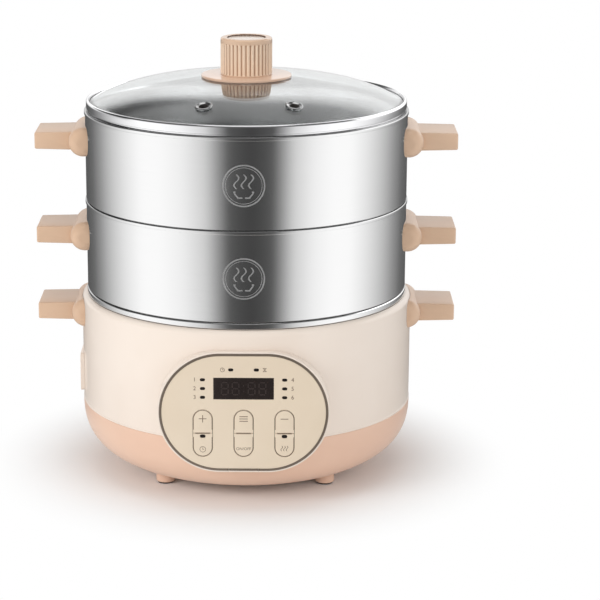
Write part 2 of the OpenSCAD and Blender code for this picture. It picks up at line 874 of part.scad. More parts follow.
// ---------- handles ----------

// Side outline of a grip: it thins towards its end, which is rounded
module grip_outline(l, edge) {
    polygon([
        [0, -grip_t / 2], [l - edge, -grip_end_t / 2], [l, edge - grip_end_t / 2],
        [l, grip_end_t / 2 - edge], [l - edge, grip_end_t / 2], [0, grip_t / 2]
    ]);
    for (z = [-1, 1]) translate([l - edge, z * (grip_end_t / 2 - edge)]) circle(edge);
}

// side is 1 for the handle on +X and -1 for the one on -X. The bar's ends are rounded
// by just under half its radius.
module handle(side, grip_z, wall_r) {
    bar_edge = bar_r / 2 - 0.05;
    color(BEIGE) rotate([0, 0, side > 0 ? 0 : 180]) difference() {
        union() {
            translate([tier_r, bar_l / 2, grip_z]) rotate([90, 0, 0]) rotate_extrude() {
                band(0, bar_r, bar_edge, bar_l - bar_edge);
                band(0, bar_r - bar_edge, 0, bar_l);
                for (z = [bar_edge, bar_l - bar_edge])
                    intersection() {
                        translate([bar_r - bar_edge, z]) circle(bar_edge);
                        band(0, bar_r, 0, bar_l);
                    }
            }
            translate([tier_r + 2, -grip_w / 2, grip_z]) rotate([-90, 0, 0]) linear_extrude(grip_w)
                grip_outline(grip_end - tier_r - 2, 1.4);
        }
        cylinder(r = wall_r + seat_gap, h = knob_top_z);
        for (a = [-screw_angle, screw_angle]) rotate([0, 0, a]) translate([wall_r - 5, 0, grip_z])
            rotate([0, 90, 0]) cylinder(r = handle_screw_r + 0.05, h = handle_screw_l + 5);
    }
}

// Screws stand along +X from the inside of a wall, for both handles at a height
module at_handle_screws(grip_z) {
    for (side = [0, 180], a = [-screw_angle, screw_angle])
        rotate([0, 0, side + a]) translate([0, 0, grip_z]) children();
}

module handle_screws(grip_z, wall_in_r) {
    color(STEEL) at_handle_screws(grip_z) translate([wall_in_r - 0.15, 0, 0]) rotate([0, 90, 0])
        screw(handle_screw_r, handle_screw_l, 3.5, 2.2);
}

lower_grip_z = lower_seat_z + lower_grip_up;
upper_grip_z = upper_seat_z + upper_grip_up;

module base_handle_left() handle(-1, base_grip_z, body_r);
module base_handle_right() handle(1, base_grip_z, body_r);
module base_handle_screws() handle_screws(base_grip_z, body_r - housing_wall);
module lower_handle_left() handle(-1, lower_grip_z, tier_r);
module lower_handle_right() handle(1, lower_grip_z, tier_r);
module lower_handle_screws() handle_screws(lower_grip_z, tier_in_r);
module upper_handle_left() handle(-1, upper_grip_z, tier_r);
module upper_handle_right() handle(1, upper_grip_z, tier_r);
module upper_handle_screws() handle_screws(upper_grip_z, tier_in_r);

// ---------- tiers ----------

module tier_shell(seat_z, grip_z) {
    top_z = seat_z + tier_h;
    color(STEEL) difference() {
        rotate_extrude() {
            band(tier_in_r, tier_r, seat_z, top_z - 1);
            band(rim_in_r, rim_out_r - 1, top_z - rim_h, top_z);
            soft_band(rim_in_r, rim_out_r, top_z - rim_h, top_z, 1);
            band(nest_r - steel_t, tier_r, seat_z, seat_z + steel_t);
            band(nest_r - steel_t, nest_r, seat_z - nest_h, seat_z + steel_t);
            band(ledge_r, nest_r, seat_z - nest_h, seat_z - nest_h + steel_t);
        }
        at_handle_screws(grip_z) translate([tier_r, 0, 0]) rotate([0, 90, 0])
            cylinder(r = handle_screw_r + 0.1, h = through, center = true);
    }
}

module steam_plate(seat_z) {
    plate_z = seat_z - nest_h + steel_t;
    ring_pitch = (plate_r - 14) / steam_rings;
    color(STEEL) difference() {
        union() {
            translate([0, 0, plate_z]) cylinder(r = plate_r, h = steel_t);
            rotate_extrude() band(plate_r - steel_t, plate_r, plate_z, plate_z + plate_edge_h);
        }
        for (ring = [1:steam_rings], i = [0:6 * ring - 1])
            rotate([0, 0, i * 60 / ring + ring * 11]) translate([ring * ring_pitch, 0, plate_z - 1])
                cylinder(r = steam_hole_r, h = steel_t + 2);
        translate([0, 0, plate_z - 1]) cylinder(r = 10, h = steel_t + 2);
    }
}

module lower_tier_shell() tier_shell(lower_seat_z, lower_grip_z);
module upper_tier_shell() tier_shell(upper_seat_z, upper_grip_z);
module lower_steam_plate() steam_plate(lower_seat_z);
module upper_steam_plate() steam_plate(upper_seat_z);

// ---------- lid ----------

module glass_shape(gap) {
    steps = 24;
    edge = glass_edge_r + gap;
    polygon(concat(
        [for (i = [0:steps]) let (r = edge * i / steps) [r, dome_z_at(r) + gap]],
        [for (i = [steps:-1:0]) let (r = edge * i / steps)
            [r, max(dome_z_at(r) - glass_t - gap, lid_band_z + steel_t - gap)]]
    ));
}

module at_vents() {
    for (a = [-vent_angle, vent_angle]) rotate([0, 0, a + vent_turn - 90])
        translate([vent_at, 0, dome_z_at(vent_at)]) rotate([0, dome_slope(vent_at), 0]) children();
}

module lid_glass() {
    color([0.80, 0.88, 0.90, 0.4]) difference() {
        rotate_extrude() glass_shape(0);
        at_vents() cylinder(r = vent_hole_r + 1.1, h = 30, center = true);
        translate([0, 0, crown_z - 10]) cylinder(r = knob_screw_r + 1, h = 20);
    }
}

module lid_rim() {
    color(STEEL) rotate_extrude() {
        difference() {
            polygon([
                [lid_band_r - 6, lid_band_z], [lid_band_r - 0.4, lid_band_z],
                [lid_band_r, lid_band_z + 0.25 * band_h], [lid_band_r - 0.3, lid_band_z + 0.6 * band_h],
                [lid_band_r - 1, lid_band_z + band_h - 0.7], [lid_band_r - 1.8, lid_band_z + band_h],
                [lid_band_r - 2.4, lid_band_z + band_h - 0.3],
                [lid_band_r - 3.2, dome_z_at(lid_band_r - 3.2) + 0.4],
                [lid_band_r - 3.4, lid_band_z + 2], [lid_band_r - 6, lid_band_z + steel_t]
            ]);
            glass_shape(seat_gap);
        }
        band(nest_r - steel_t, rim_in_r + 0.9, lid_seat_z, lid_band_z + eps);
        band(nest_r - steel_t, nest_r, lid_seat_z - nest_h + 1, lid_band_z + eps);
    }
}

module vent_eyelets() {
    color(STEEL) at_vents() difference() {
        union() {
            translate([0, 0, 0.15]) cylinder(r = vent_flange_r, h = vent_flange_t);
            translate([0, 0, -glass_t - 1.1]) cylinder(r = vent_hole_r + 0.9, h = glass_t + 1.3);
            translate([0, 0, -glass_t - 1.2]) cylinder(r = vent_flange_r - 1.5, h = 0.9);
        }
        cylinder(r = vent_hole_r, h = 30, center = true);
    }
}

module lid_flange() {
    color(BEIGE) difference() {
        rotate_extrude() {
            band(0, flange_r - flange_t / 2, flange_z, knob_z);
            translate([flange_r - flange_t / 2, flange_z + flange_t / 2]) circle(flange_t / 2);
        }
        translate([0, 0, flange_z - 1]) cylinder(r = knob_screw_r + 0.2, h = flange_t + 2);
    }
}

module lid_knob() {
    flute_r = 1.6;
    collar_h = 0.8;
    band_top_h = 4.2;
    brow_round = 1.8;
    boss_r = 6;
    color(BEIGE) difference() {
        rotate_extrude() {
            difference() {
                union() {
                    band(0, knob_r, knob_z, knob_top_z - brow_round);
                    band(0, knob_r - brow_round, knob_z, knob_top_z);
                    translate([knob_r - brow_round, knob_top_z - brow_round]) circle(brow_round);
                }
                band(boss_r, knob_r - 4, knob_z - 1, knob_top_z - cap_recess - 5);
                band(0, cap_r + seat_gap, knob_top_z - cap_recess, knob_top_z + 1);
            }
        }
        for (i = [0:knob_flutes - 1]) rotate([0, 0, i * 360 / knob_flutes])
            translate([knob_r + 0.8, 0, knob_z + collar_h])
                cylinder(r = flute_r, h = knob_h - collar_h - band_top_h);
        translate([0, 0, knob_z - 1]) cylinder(r = knob_screw_r + 0.03, h = 21);
    }
}

module knob_cap() {
    color(BEIGE) translate([0, 0, knob_top_z - cap_recess]) cylinder(r = cap_r, h = cap_recess - 1);
}

gasket_t = 1.5;

module knob_screw() {
    washer_t = 1.2;
    color(STEEL) translate([0, 0, crown_z - glass_t - gasket_t - 0.3]) {
        translate([0, 0, -washer_t]) cylinder(r = 9, h = washer_t);
        translate([0, 0, -washer_t + eps]) screw(knob_screw_r, glass_t + gasket_t + flange_t + 18, 4.8, 2.6);
    }
}

module knob_gasket() {
    color("whitesmoke") difference() {
        translate([0, 0, crown_z - glass_t - gasket_t - 0.3]) cylinder(r = 10, h = gasket_t);
        translate([0, 0, crown_z - 10]) cylinder(r = knob_screw_r + 0.1, h = 10);
    }
}

lower_housing();
upper_housing();
housing_screws();
foot_pads();
cooking_pot();
pot_seal();
heater_plate();
heating_element();
heater_spacers();
heat_shield();
shield_screws();
temperature_sensor();
thermal_cutout();
power_board();
transformer();
relay();
capacitor();
terminal_block();
board_screws();
wiring();
panel_frame();
panel_ring();
panel_fascia();
display_window();
display_module();
indicator_lenses();
indicator_lamps();
control_board();
control_board_screws();
tact_switches();
key_plus();
key_menu();
key_minus();
key_preset();
key_power();
key_warm();
base_handle_left();
base_handle_right();
base_handle_screws();
power_inlet();
inlet_pins();
inlet_screws();
lower_tier_shell();
lower_steam_plate();
lower_handle_left();
lower_handle_right();
lower_handle_screws();
upper_tier_shell();
upper_steam_plate();
upper_handle_left();
upper_handle_right();
upper_handle_screws();
lid_glass();
lid_rim();
vent_eyelets();
lid_flange();
lid_knob();
knob_cap();
knob_screw();
knob_gasket();
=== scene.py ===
import json
import math

import bmesh
import bpy
from mathutils import Matrix, Vector


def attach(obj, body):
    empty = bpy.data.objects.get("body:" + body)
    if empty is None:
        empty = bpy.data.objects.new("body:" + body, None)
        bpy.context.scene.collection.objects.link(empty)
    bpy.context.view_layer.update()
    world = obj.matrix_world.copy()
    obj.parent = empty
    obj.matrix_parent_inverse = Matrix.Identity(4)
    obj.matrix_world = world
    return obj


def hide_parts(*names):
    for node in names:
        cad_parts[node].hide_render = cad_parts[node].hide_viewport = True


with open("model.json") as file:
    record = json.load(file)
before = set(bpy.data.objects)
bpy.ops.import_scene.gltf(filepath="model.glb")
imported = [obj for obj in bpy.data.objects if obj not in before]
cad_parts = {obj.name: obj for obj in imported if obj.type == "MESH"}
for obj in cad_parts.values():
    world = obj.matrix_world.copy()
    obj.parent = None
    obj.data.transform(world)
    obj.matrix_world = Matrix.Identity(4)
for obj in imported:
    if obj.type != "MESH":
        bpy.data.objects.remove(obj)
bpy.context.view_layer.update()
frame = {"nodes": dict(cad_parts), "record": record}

# Electric food steamer: heated base with a fixed pot and key panel, two steel
# tiers, and a domed glass lid. Shapes are made in millimetres and stored in metres.

scene = bpy.context.scene
MM = 0.001
ROUND_STEPS = 192
WELD_DIST = 0.001
AROUND_X = Matrix.Rotation(math.radians(90), 4, "X")

# Housing
BODY_R = 145.0
SEAM_R = 145.3
WALL = 2.5
SPLIT_Z = 61.0
SHOULDER_Z = 157.3
UNDERSIDE_Z = 5.0
UNDERSIDE_R = 62.6
BELLY_POWER = 2.5
BELLY_STEPS = 44
SHOULDER_HOLE_R = 138.9
SKIRT_IN_R = 140.3       # the skirt of the upper housing stands inside the lower one
SKIRT_OUT_R = 142.3
SKIRT_H = 4.0
FOOT_AT = 69.5
FOOT_R = 8.2
POST_TOP_Z = 10.4
PAD_R = 6.9
PAD_H = 3.0
PAD_SHOW = 1.5
FOOT_SPOTS = [Matrix.Translation((x, y, 0)) for x in (-FOOT_AT, FOOT_AT) for y in (-FOOT_AT, FOOT_AT)]

# Pot, tiers and lid
POT_R = 124.0
POT_FLOOR_Z = 61.0
POT_TOP_Z = 163.0
POT_STEP_Z = 148.0
POT_NECK_R = 138.6
POT_RIM_R = 140.4
POT_RIM_Z = 157.7
SHEET_T = 1.0
RIM_H = 3.0
NEST_DEPTH = 6.0
TIER_R = 140.0
TIER_IN_R = 139.0
RIM_IN_R = 137.6
RIM_OUT_R = 140.8
NEST_R = 137.0
LEDGE_R = 129.0
TIER_H = 77.9
JOINT_GAP = 0.7
LOWER_SEAT_Z = POT_TOP_Z
UPPER_SEAT_Z = POT_TOP_Z + TIER_H
TIER_SEATS = (("lower", LOWER_SEAT_Z), ("upper", UPPER_SEAT_Z))
LID_SEAT_Z = POT_TOP_Z + 2 * TIER_H
BAND_Z = LID_SEAT_Z + 2.5
DOME_R = 139.6
DOME_Z = BAND_Z + 2.0
DOME_RISE = 23.3
DOME_POWER = 3.2
GLASS_T = 4.0
GLASS_EDGE_R = 137.5
VENT_AT = 106.0
VENT_ANGLES = (2.1 - 20.6, 2.1 + 20.6)
VENT_HOLE_R = 4.0
VENT_FLANGE_R = 7.5
VENT_FLANGE_T = 1.3
VENT_UNDER_T = 1.2
FLANGE_R = 39.1
FLANGE_Z = DOME_Z + DOME_RISE + 0.1
KNOB_R = 22.3
KNOB_Z = FLANGE_Z + 1.8
KNOB_TOP_Z = KNOB_Z + 32.0
KNOB_FLUTES = 36
FLUTE_R = 1.6
POCKET_R = 16.7
POCKET_DEPTH = 2.0
BOLT_R = 2.6
INLAY_R = 16.0
BAND_R = 139.0
BAND_H = 6.9
BAND_IN_R = 133.0

# Handles
BAR_R = 12.7
BAR_HALF = 37.0
BAR_DOME = 9.5
GRIP_END = 182.5
GRIP_HALF = 23.6
GRIP_T = 16.2
GRIP_END_T = 14.4
BASE_GRIP_Z = 141.8
LOWER_GRIP_Z = LOWER_SEAT_Z + 47.4
UPPER_GRIP_Z = UPPER_SEAT_Z + 52.6

# Control panel
PANEL_Z = 89.0
PANEL_HALF = 19.5
PANEL_R = 50.8
RING_FRONT = -150.2
FASCIA_FRONT = -150.0
FASCIA_BACK = -148.0
PANEL_HOLE_R = 48.3
FASCIA_R = 48.85
RING_IN_R = 49.0
LIP_R = 52.2
LIP_IN_R = 50.95
LIP_FRONT = -149.7
TRAY_R = 48.1
TRAY_IN_R = 46.1
CUT_FRONT = -152.0       # cutters through the panel's face run from here
CUT_BACK = -146.0        # to here
AHEAD_Y = -160.0         # in front of everything
KEY_FRONT = -150.15
KEY_BACK = -147.7
KEY_X = 34.0
KEY_COLUMNS = (-KEY_X, 0.0, KEY_X)
KEY_HALF = 8.05
PAIR_TOP_Z = 91.4
PAIR_GAP_Z = 71.1
PAIR_BOTTOM_Z = 50.8
KEY_GAP = 0.35
LAMP_HALF_W = 2.1
LAMP_HALF_H = 1.25
LAMP_ROWS = (117.5, 109.9, 102.3)
TOP_LAMP_X = 10.6
TOP_LAMP_Z = 126.1
LAMP_SPOTS = [(-TOP_LAMP_X, TOP_LAMP_Z), (TOP_LAMP_X, TOP_LAMP_Z)] + [
    (x, z) for x in (-KEY_X, KEY_X) for z in LAMP_ROWS
]
KEY_LAMP_Z = 68.5
WINDOW_Z = 109.9
WINDOW_HALF_W = 25.0
WINDOW_HALF_H = 9.3

# Printed marks
PRINT_T = 0.08
PRINT_OUT = 0.04
TOP_MARK_X = 17.5
ROW_MARK_X = 40.6
ROW_MARK_H = 3.4
SIGN_Z = 83.7
SIGN_SIZE = 6.4
SIGN_LINE = 0.6
BADGE_OUT = -0.08
BADGE_UP = 38.0


def belly_point(angle, inset):
    """A point of the lower housing's curve, at an angle up from its underside."""
    width = SEAM_R - UNDERSIDE_R - inset
    height = SPLIT_Z - UNDERSIDE_Z - inset
    return (
        UNDERSIDE_R + width * math.cos(angle) ** (2 / BELLY_POWER),
        SPLIT_Z - height * math.sin(angle) ** (2 / BELLY_POWER),
    )


def dome_height(r):
    """Height of the glass dome's outside at a radius."""
    return DOME_Z + DOME_RISE * (1 - (r / DOME_R) ** DOME_POWER)


# ---------- modelling helpers ----------

def weld(bm):
    """Joins doubled points and turns every face outwards."""
    bmesh.ops.remove_doubles(bm, verts=bm.verts[:], dist=WELD_DIST)
    bmesh.ops.dissolve_degenerate(bm, edges=bm.edges[:], dist=0.0001)
    bmesh.ops.recalc_face_normals(bm, faces=bm.faces[:])
    return bm


def flat_outline(corners, segments=10):
    """A face in the XZ plane from corners (x, z) or (x, z, radius), rounded."""
    bm = bmesh.new()
    points = [bm.verts.new((corner[0], 0, corner[1])) for corner in corners]
    bm.faces.new(points)
    for point, corner in zip(points, corners):
        if len(corner) > 2:
            bmesh.ops.bevel(
                bm, geom=[point], offset=corner[2], offset_type="OFFSET", segments=segments,
                profile=0.5, affect="VERTICES", clamp_overlap=False, material=-1)
    bmesh.ops.remove_doubles(bm, verts=bm.verts[:], dist=WELD_DIST)
    return bm


def turned(profile, steps=ROUND_STEPS, segments=5):
    """A closed profile of corners (radius, height[, rounding]) spun about Z."""
    bm = flat_outline(profile, segments)
    bmesh.ops.delete(bm, geom=bm.faces[:], context="FACES_ONLY")
    for edge in bm.edges[:]:
        if all(abs(vert.co.x) < 0.0001 for vert in edge.verts):
            bm.edges.remove(edge)
    bmesh.ops.spin(
        bm, geom=bm.verts[:] + bm.edges[:], cent=(0, 0, 0), axis=(0, 0, 1), dvec=(0, 0, 0),
        angle=2 * math.pi, steps=steps, use_merge=True)
    return weld(bm)


def plate(corners, front_y, back_y, edge=0.0, segments=10):
    """An upright plate with a rounded outline and a softened front edge."""
    bm = flat_outline(corners, segments)
    bmesh.ops.translate(bm, verts=bm.verts[:], vec=(0, front_y, 0))
    grown = bmesh.ops.extrude_face_region(bm, geom=bm.faces[:])
    back = [part for part in grown["geom"] if isinstance(part, bmesh.types.BMVert)]
    bmesh.ops.translate(bm, verts=back, vec=(0, back_y - front_y, 0))
    if edge:
        front = [
            side for side in bm.edges
            if all(abs(vert.co.y - front_y) < 0.0001 for vert in side.verts)
        ]
        soften(bm, front, edge)
    return weld(bm)


def soften(bm, edges, size, segments=3):
    """Rounds edges over."""
    bmesh.ops.bevel(
        bm, geom=edges, offset=size, offset_type="OFFSET", segments=segments, profile=0.5,
        affect="EDGES", clamp_overlap=True, material=-1)


def block(low, high, edge=0.0):
    """A box between two corners, with rounded edges."""
    bm = bmesh.new()
    size = [b - a for a, b in zip(low, high)]
    middle = [(a + b) / 2 for a, b in zip(low, high)]
    bmesh.ops.create_cube(bm, size=1, matrix=Matrix.Translation(middle) @ Matrix.Diagonal(size + [1]))
    if edge:
        soften(bm, bm.edges[:], edge)
    return weld(bm)


def rod(radius, low_z, high_z, steps=48):
    """A plain upright cylinder on the Z axis."""
    return turned([(0, low_z), (radius, low_z), (radius, high_z), (0, high_z)], steps)


def placed(bm, *matrices):
    """One shape made of copies of another, one copy for each matrix."""
    copies = []
    for matrix in matrices:
        copy = bm.copy()
        bmesh.ops.transform(copy, matrix=matrix, verts=copy.verts[:])
        copies.append(copy)
    return together(*copies)


def together(*shapes):
    """One bmesh that holds several shapes, which stay separate shells."""
    whole = bmesh.new()
    for shape in shapes:
        mesh = bpy.data.meshes.new("shape")
        shape.to_mesh(mesh)
        shape.free()
        whole.from_mesh(mesh)
        bpy.data.meshes.remove(mesh)
    return whole


def loose_object(bm, name):
    """An object in the scene with a shape as its mesh."""
    mesh = bpy.data.meshes.new(name)
    bm.to_mesh(mesh)
    bm.free()
    thing = bpy.data.objects.new(name, mesh)
    scene.collection.objects.link(thing)
    return thing


def combine(bm, other, operation):
    """The union or difference of two shapes."""
    thing = loose_object(bm, "kept")
    tool = loose_object(other, "tool")
    step = thing.modifiers.new("cut", "BOOLEAN")
    step.operation = operation
    step.solver = "EXACT"
    step.object = tool
    result = bmesh.new()
    result.from_object(thing, bpy.context.evaluated_depsgraph_get())
    for used in (thing, tool):
        mesh = used.data
        bpy.data.objects.remove(used)
        bpy.data.meshes.remove(mesh)
    return weld(result)


def carve(bm, cutter):
    """A shape less what the cutter covers."""
    return combine(bm, cutter, "DIFFERENCE")


def fuse(bm, other):
    """Two shapes as one."""
    return combine(bm, other, "UNION")


def turn_z(degrees):
    """A turn about the upright axis."""
    return Matrix.Rotation(math.radians(degrees), 4, "Z")


def piece(name, bm, body, finish, replaces=()):
    """Finishes a shape: scales it to metres, shades it and hangs it on its body."""
    bmesh.ops.scale(bm, vec=(MM, MM, MM), verts=bm.verts[:])
    thing = loose_object(bm, name)
    thing.data.materials.append(finish.material)
    thing.data.shade_smooth()
    thing.data.set_sharp_from_angle(angle=math.radians(30))
    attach(thing, body)
    if replaces:
        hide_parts(*replaces)
    return thing


# ---------- material helpers ----------

class Wire:
    """The value of a socket. Arithmetic on it adds Math nodes."""

    def __init__(self, graph, socket):
        self.graph = graph
        self.socket = socket

    def math(self, operation, *values):
        """A Math node on the values given, or on this one alone."""
        values = values or (self,)
        return self.graph.node("ShaderNodeMath", {"operation": operation}, dict(enumerate(values)))

    def __add__(self, other):
        return self.math("ADD", self, other)

    def __radd__(self, other):
        return self.math("ADD", other, self)

    def __sub__(self, other):
        return self.math("SUBTRACT", self, other)

    def __rsub__(self, other):
        return self.math("SUBTRACT", other, self)

    def __mul__(self, other):
        return self.math("MULTIPLY", self, other)

    def __rmul__(self, other):
        return self.math("MULTIPLY", other, self)

    def __truediv__(self, other):
        return self.math("DIVIDE", self, other)

    def __pow__(self, other):
        return self.math("POWER", self, other)

    def absolute(self):
        return self.math("ABSOLUTE", self)

    def step(self, low, high):
        """0 below low, 1 above high, and smooth between."""
        return self.graph.node(
            "ShaderNodeMapRange", {"interpolation_type": "SMOOTHSTEP"},
            {"Value": self, "From Min": low, "From Max": high})


class Graph:
    """A node tree of a material or of the world."""

    def __init__(self, tree):
        self.tree = tree

    def node(self, kind, settings=None, values=None, output=0):
        """A new node with its settings and inputs. It returns one of its outputs."""
        made = self.tree.nodes.new(kind)
        for key, setting in (settings or {}).items():
            if key == "stops":
                self.set_stops(made.color_ramp, setting)
            else:
                setattr(made, key, setting)
        for key, value in (values or {}).items():
            self.feed(made.inputs[key], value)
        return Wire(self, made.outputs[output]) if made.outputs else None

    def feed(self, socket, value):
        """Links a wire to an input, or sets the input to a constant."""
        if isinstance(value, Wire):
            self.tree.links.new(value.socket, socket)
        else:
            socket.default_value = value

    def ramp(self, factor, levels):
        """A grey that follows levels, which are pairs of a factor and a brightness."""
        stops = [(at, (grey, grey, grey, 1)) for at, grey in levels]
        return self.node("ShaderNodeValToRGB", {"stops": stops}, {0: factor})

    @staticmethod
    def set_stops(ramp, stops):
        """Gives a colour ramp its positions and colours."""
        while len(ramp.elements) < len(stops):
            ramp.elements.new(1.0)
        for element, (position, colour) in zip(ramp.elements, stops):
            element.position = position
            element.color = colour

    def mix(self, factor, first, second):
        """A mix of two colours."""
        return self.node(
            "ShaderNodeMix", {"data_type": "RGBA"}, {0: factor, 6: first, 7: second}, output=2)


class Finish(Graph):
    """A material with one Principled shader."""

    def __init__(self, name, **constants):
        self.material = bpy.data.materials.new(name)
        self.material.use_nodes = True
        super().__init__(self.material.node_tree)
        self.tree.nodes.clear()
        self.shader = self.tree.nodes.new("ShaderNodeBsdfPrincipled")
        self.output = self.tree.nodes.new("ShaderNodeOutputMaterial")
        self.tree.links.new(self.shader.outputs[0], self.output.inputs[0])
        for key, value in constants.items():
            self.shader.inputs[key.replace("_", " ")].default_value = value
        self.place = self.node("ShaderNodeTexCoord", output="Object")

    def put(self, **values):
        """Feeds inputs of the shader, named with _ for each space."""
        for key, value in values.items():
            self.feed(self.shader.inputs[key.replace("_", " ")], value)

    def lit(self):
        """What the Principled shader gives out, to be mixed with another shader."""
        return Wire(self, self.shader.outputs[0])

    def blend(self, factor, first, second):
        """A mix of two shaders."""
        return self.node("ShaderNodeMixShader", None, {0: factor, 1: first, 2: second})

    def axes(self):
        """The three coordinates of a point of the object, in metres."""
        split = self.tree.nodes.new("ShaderNodeSeparateXYZ")
        self.tree.links.new(self.place.socket, split.inputs[0])
        return [Wire(self, output) for output in split.outputs]

    def noise(self, scale, detail=2.0, rough=0.5, vector=None):
        """A noise value, 0 to 1, at the point itself or at another vector."""
        return self.node(
            "ShaderNodeTexNoise", None,
            {"Vector": vector or self.place, "Scale": scale, "Detail": detail, "Roughness": rough})

    def point(self, x, y, z):
        """A vector from three values."""
        return self.node("ShaderNodeCombineXYZ", None, {0: x, 1: y, 2: z})

    def bump(self, height, strength, distance):
        """Raises the surface a little by a height value, and returns the finish."""
        self.put(Normal=self.node(
            "ShaderNodeBump", None, {"Height": height, "Strength": strength, "Distance": distance}))
        return self


def paint(red, green, blue):
    """A colour from its values on a screen, 0 to 255."""
    def linear(value):
        share = value / 255
        return share / 12.92 if share <= 0.04045 else ((share + 0.055) / 1.055) ** 2.4
    return (linear(red), linear(green), linear(blue), 1.0)


def darker(tone, share):
    """A colour with its red, green and blue times a share."""
    return tuple(c * share for c in tone[:3]) + (1.0,)


def moulded(name, colour, shade, rough=0.32, grain=0.12, coat=0.25):
    """Moulded plastic: two close tones, a fine grain, and gloss that varies a little."""
    finish = Finish(name, Coat_Weight=coat, Coat_Roughness=0.12, Specular_IOR_Level=0.45)
    cloud = finish.noise(11, 3).step(0.35, 0.65)
    speck = finish.noise(900, 2)
    finish.put(
        Base_Color=finish.mix(cloud, colour, shade),
        Roughness=rough + (finish.noise(60, 4) - 0.5) * 0.12)
    return finish.bump(speck, grain, 0.00005)


def brushed(name, tone, rough, lines="round", strength=0.015, painted_shade_tops=()):
    """Sheet metal with brush lines: round the axis, or in rings on a flat sheet.

    The rolled edges under each height of painted_shade_tops, in mm, get painted shade: their colour is
    darkened, which dims their gleam.
    """
    finish = Finish(name, Metallic=1.0)
    x, y, z = finish.axes()
    angle = x.math("ARCTAN2", x, y)
    radius = (x * x + y * y) ** 0.5
    across = z if lines == "round" else radius
    along = finish.point(angle * 1.5, across * 900, 0)
    fine = finish.noise(1.0, 5, 0.7, along)
    smudge = finish.noise(14, 3).step(0.35, 0.75)
    sheet = finish.mix(fine.step(0.3, 0.7), tone, darker(tone, 0.98))
    # Painted shade: the top of each rolled edge outside the wall is darkened to a third of the sheet's
    # tone, dimming its highlight.
    outer = radius.step((TIER_R - 2.2) * MM, (TIER_R - 1.8) * MM)
    for top in painted_shade_tops:
        over = z.step((top + 0.05) * MM, (top + 0.1) * MM)
        edge = z.step((top - 0.5) * MM, (top - 0.25) * MM) * (1 - over)
        sheet = finish.mix(edge * outer, sheet, darker(tone, 0.35))
    finish.put(
        Base_Color=sheet,
        Roughness=rough + (fine - 0.5) * 0.02 + smudge * 0.02)
    return finish.bump(fine, strength, 0.0001)


def cast(name, tone, rough, scale=260, strength=0.25):
    """Plain metal with a fine uneven skin."""
    finish = Finish(name, Metallic=1.0)
    skin = finish.noise(scale, 4, 0.6)
    finish.put(
        Base_Color=finish.mix(finish.noise(40, 3).step(0.3, 0.7), tone, darker(tone, 0.8)),
        Roughness=rough + (skin - 0.5) * 0.2)
    return finish.bump(skin, strength, 0.00005)


# ---------- finishes ----------

CREAM = moulded("cream_housing", paint(241, 228, 216), paint(237, 223, 210))
PINK = moulded("pink_housing", paint(236, 200, 176), paint(231, 193, 169))
BEIGE = moulded("beige_handle", paint(221, 188, 160), paint(216, 182, 153), rough=0.45, grain=0.03,
                coat=0.2)
TAUPE = moulded("taupe_trim", paint(118, 104, 92), paint(108, 96, 84), rough=0.3)
FASCIA = moulded("fascia_beige", paint(228, 212, 190), paint(224, 207, 184), rough=0.42, coat=0.1)
SMOKE = moulded("window_smoke", paint(46, 38, 36), paint(40, 33, 31), rough=0.12, grain=0.02, coat=0.6)
LAMP = moulded("lens_black", paint(44, 38, 36), paint(36, 32, 31), rough=0.2, grain=0.02, coat=0.5)
MARK = moulded("printed_mark", paint(116, 96, 82), paint(108, 89, 76), rough=0.5, coat=0.0)
DIGIT = moulded("display_segment", paint(66, 56, 53), paint(58, 49, 47), rough=0.3, coat=0.2)
DARK_PLASTIC = moulded("dark_plastic", paint(46, 44, 44), paint(38, 37, 38), rough=0.45, coat=0.0)
WHITE_PLASTIC = moulded("white_plastic", paint(232, 230, 224), paint(222, 219, 212), rough=0.4)
RELAY_BLUE = moulded("relay_blue", paint(40, 74, 150), paint(34, 64, 134), rough=0.35)
RUBBER = moulded("foot_rubber", paint(58, 54, 52), paint(48, 45, 44), rough=0.8, grain=0.4, coat=0.0)
SEAL = moulded("seal_rubber", paint(70, 66, 63), paint(60, 56, 54), rough=0.75, grain=0.3, coat=0.0)
SILICONE = moulded("gasket_silicone", paint(226, 224, 218), paint(216, 213, 206), rough=0.6, coat=0.0)
WINDING = moulded("winding", paint(190, 132, 50), paint(160, 104, 36), rough=0.4)
LEAD_JACKET = moulded("lead_jacket", paint(150, 54, 44), paint(134, 46, 38), rough=0.5)
# The rims at these heights get painted shade.
WALL_STEEL = brushed("sheet_steel", (0.80, 0.80, 0.80, 1.0), 0.16, strength=0.006,
                     painted_shade_tops=(POT_TOP_Z, UPPER_SEAT_Z, LID_SEAT_Z))
PLATE_STEEL = brushed("plate_steel", (0.78, 0.78, 0.79, 1.0), 0.26, "flat")
POLISHED = brushed("polished_steel", (0.84, 0.84, 0.85, 1.0), 0.10, strength=0.02)
GROMMET = brushed("grommet_steel", (0.42, 0.42, 0.42, 1.0), 0.22, strength=0.01)
SHIELD_STEEL = cast("shield_steel", (0.62, 0.62, 0.62, 1.0), 0.35)
SCREW_STEEL = cast("screw_steel", (0.66, 0.65, 0.63, 1.0), 0.3, 700)
ELEMENT_STEEL = cast("element_steel", (0.36, 0.34, 0.33, 1.0), 0.45)
ALUMINIUM = cast("cast_aluminium", (0.72, 0.72, 0.72, 1.0), 0.5, 420, 0.5)
BRASS = cast("pin_brass", (0.78, 0.60, 0.32, 1.0), 0.25, 500)
ETCHED = cast("etched_steel", (0.86, 0.86, 0.86, 1.0), 0.52, 1500, 0.3)


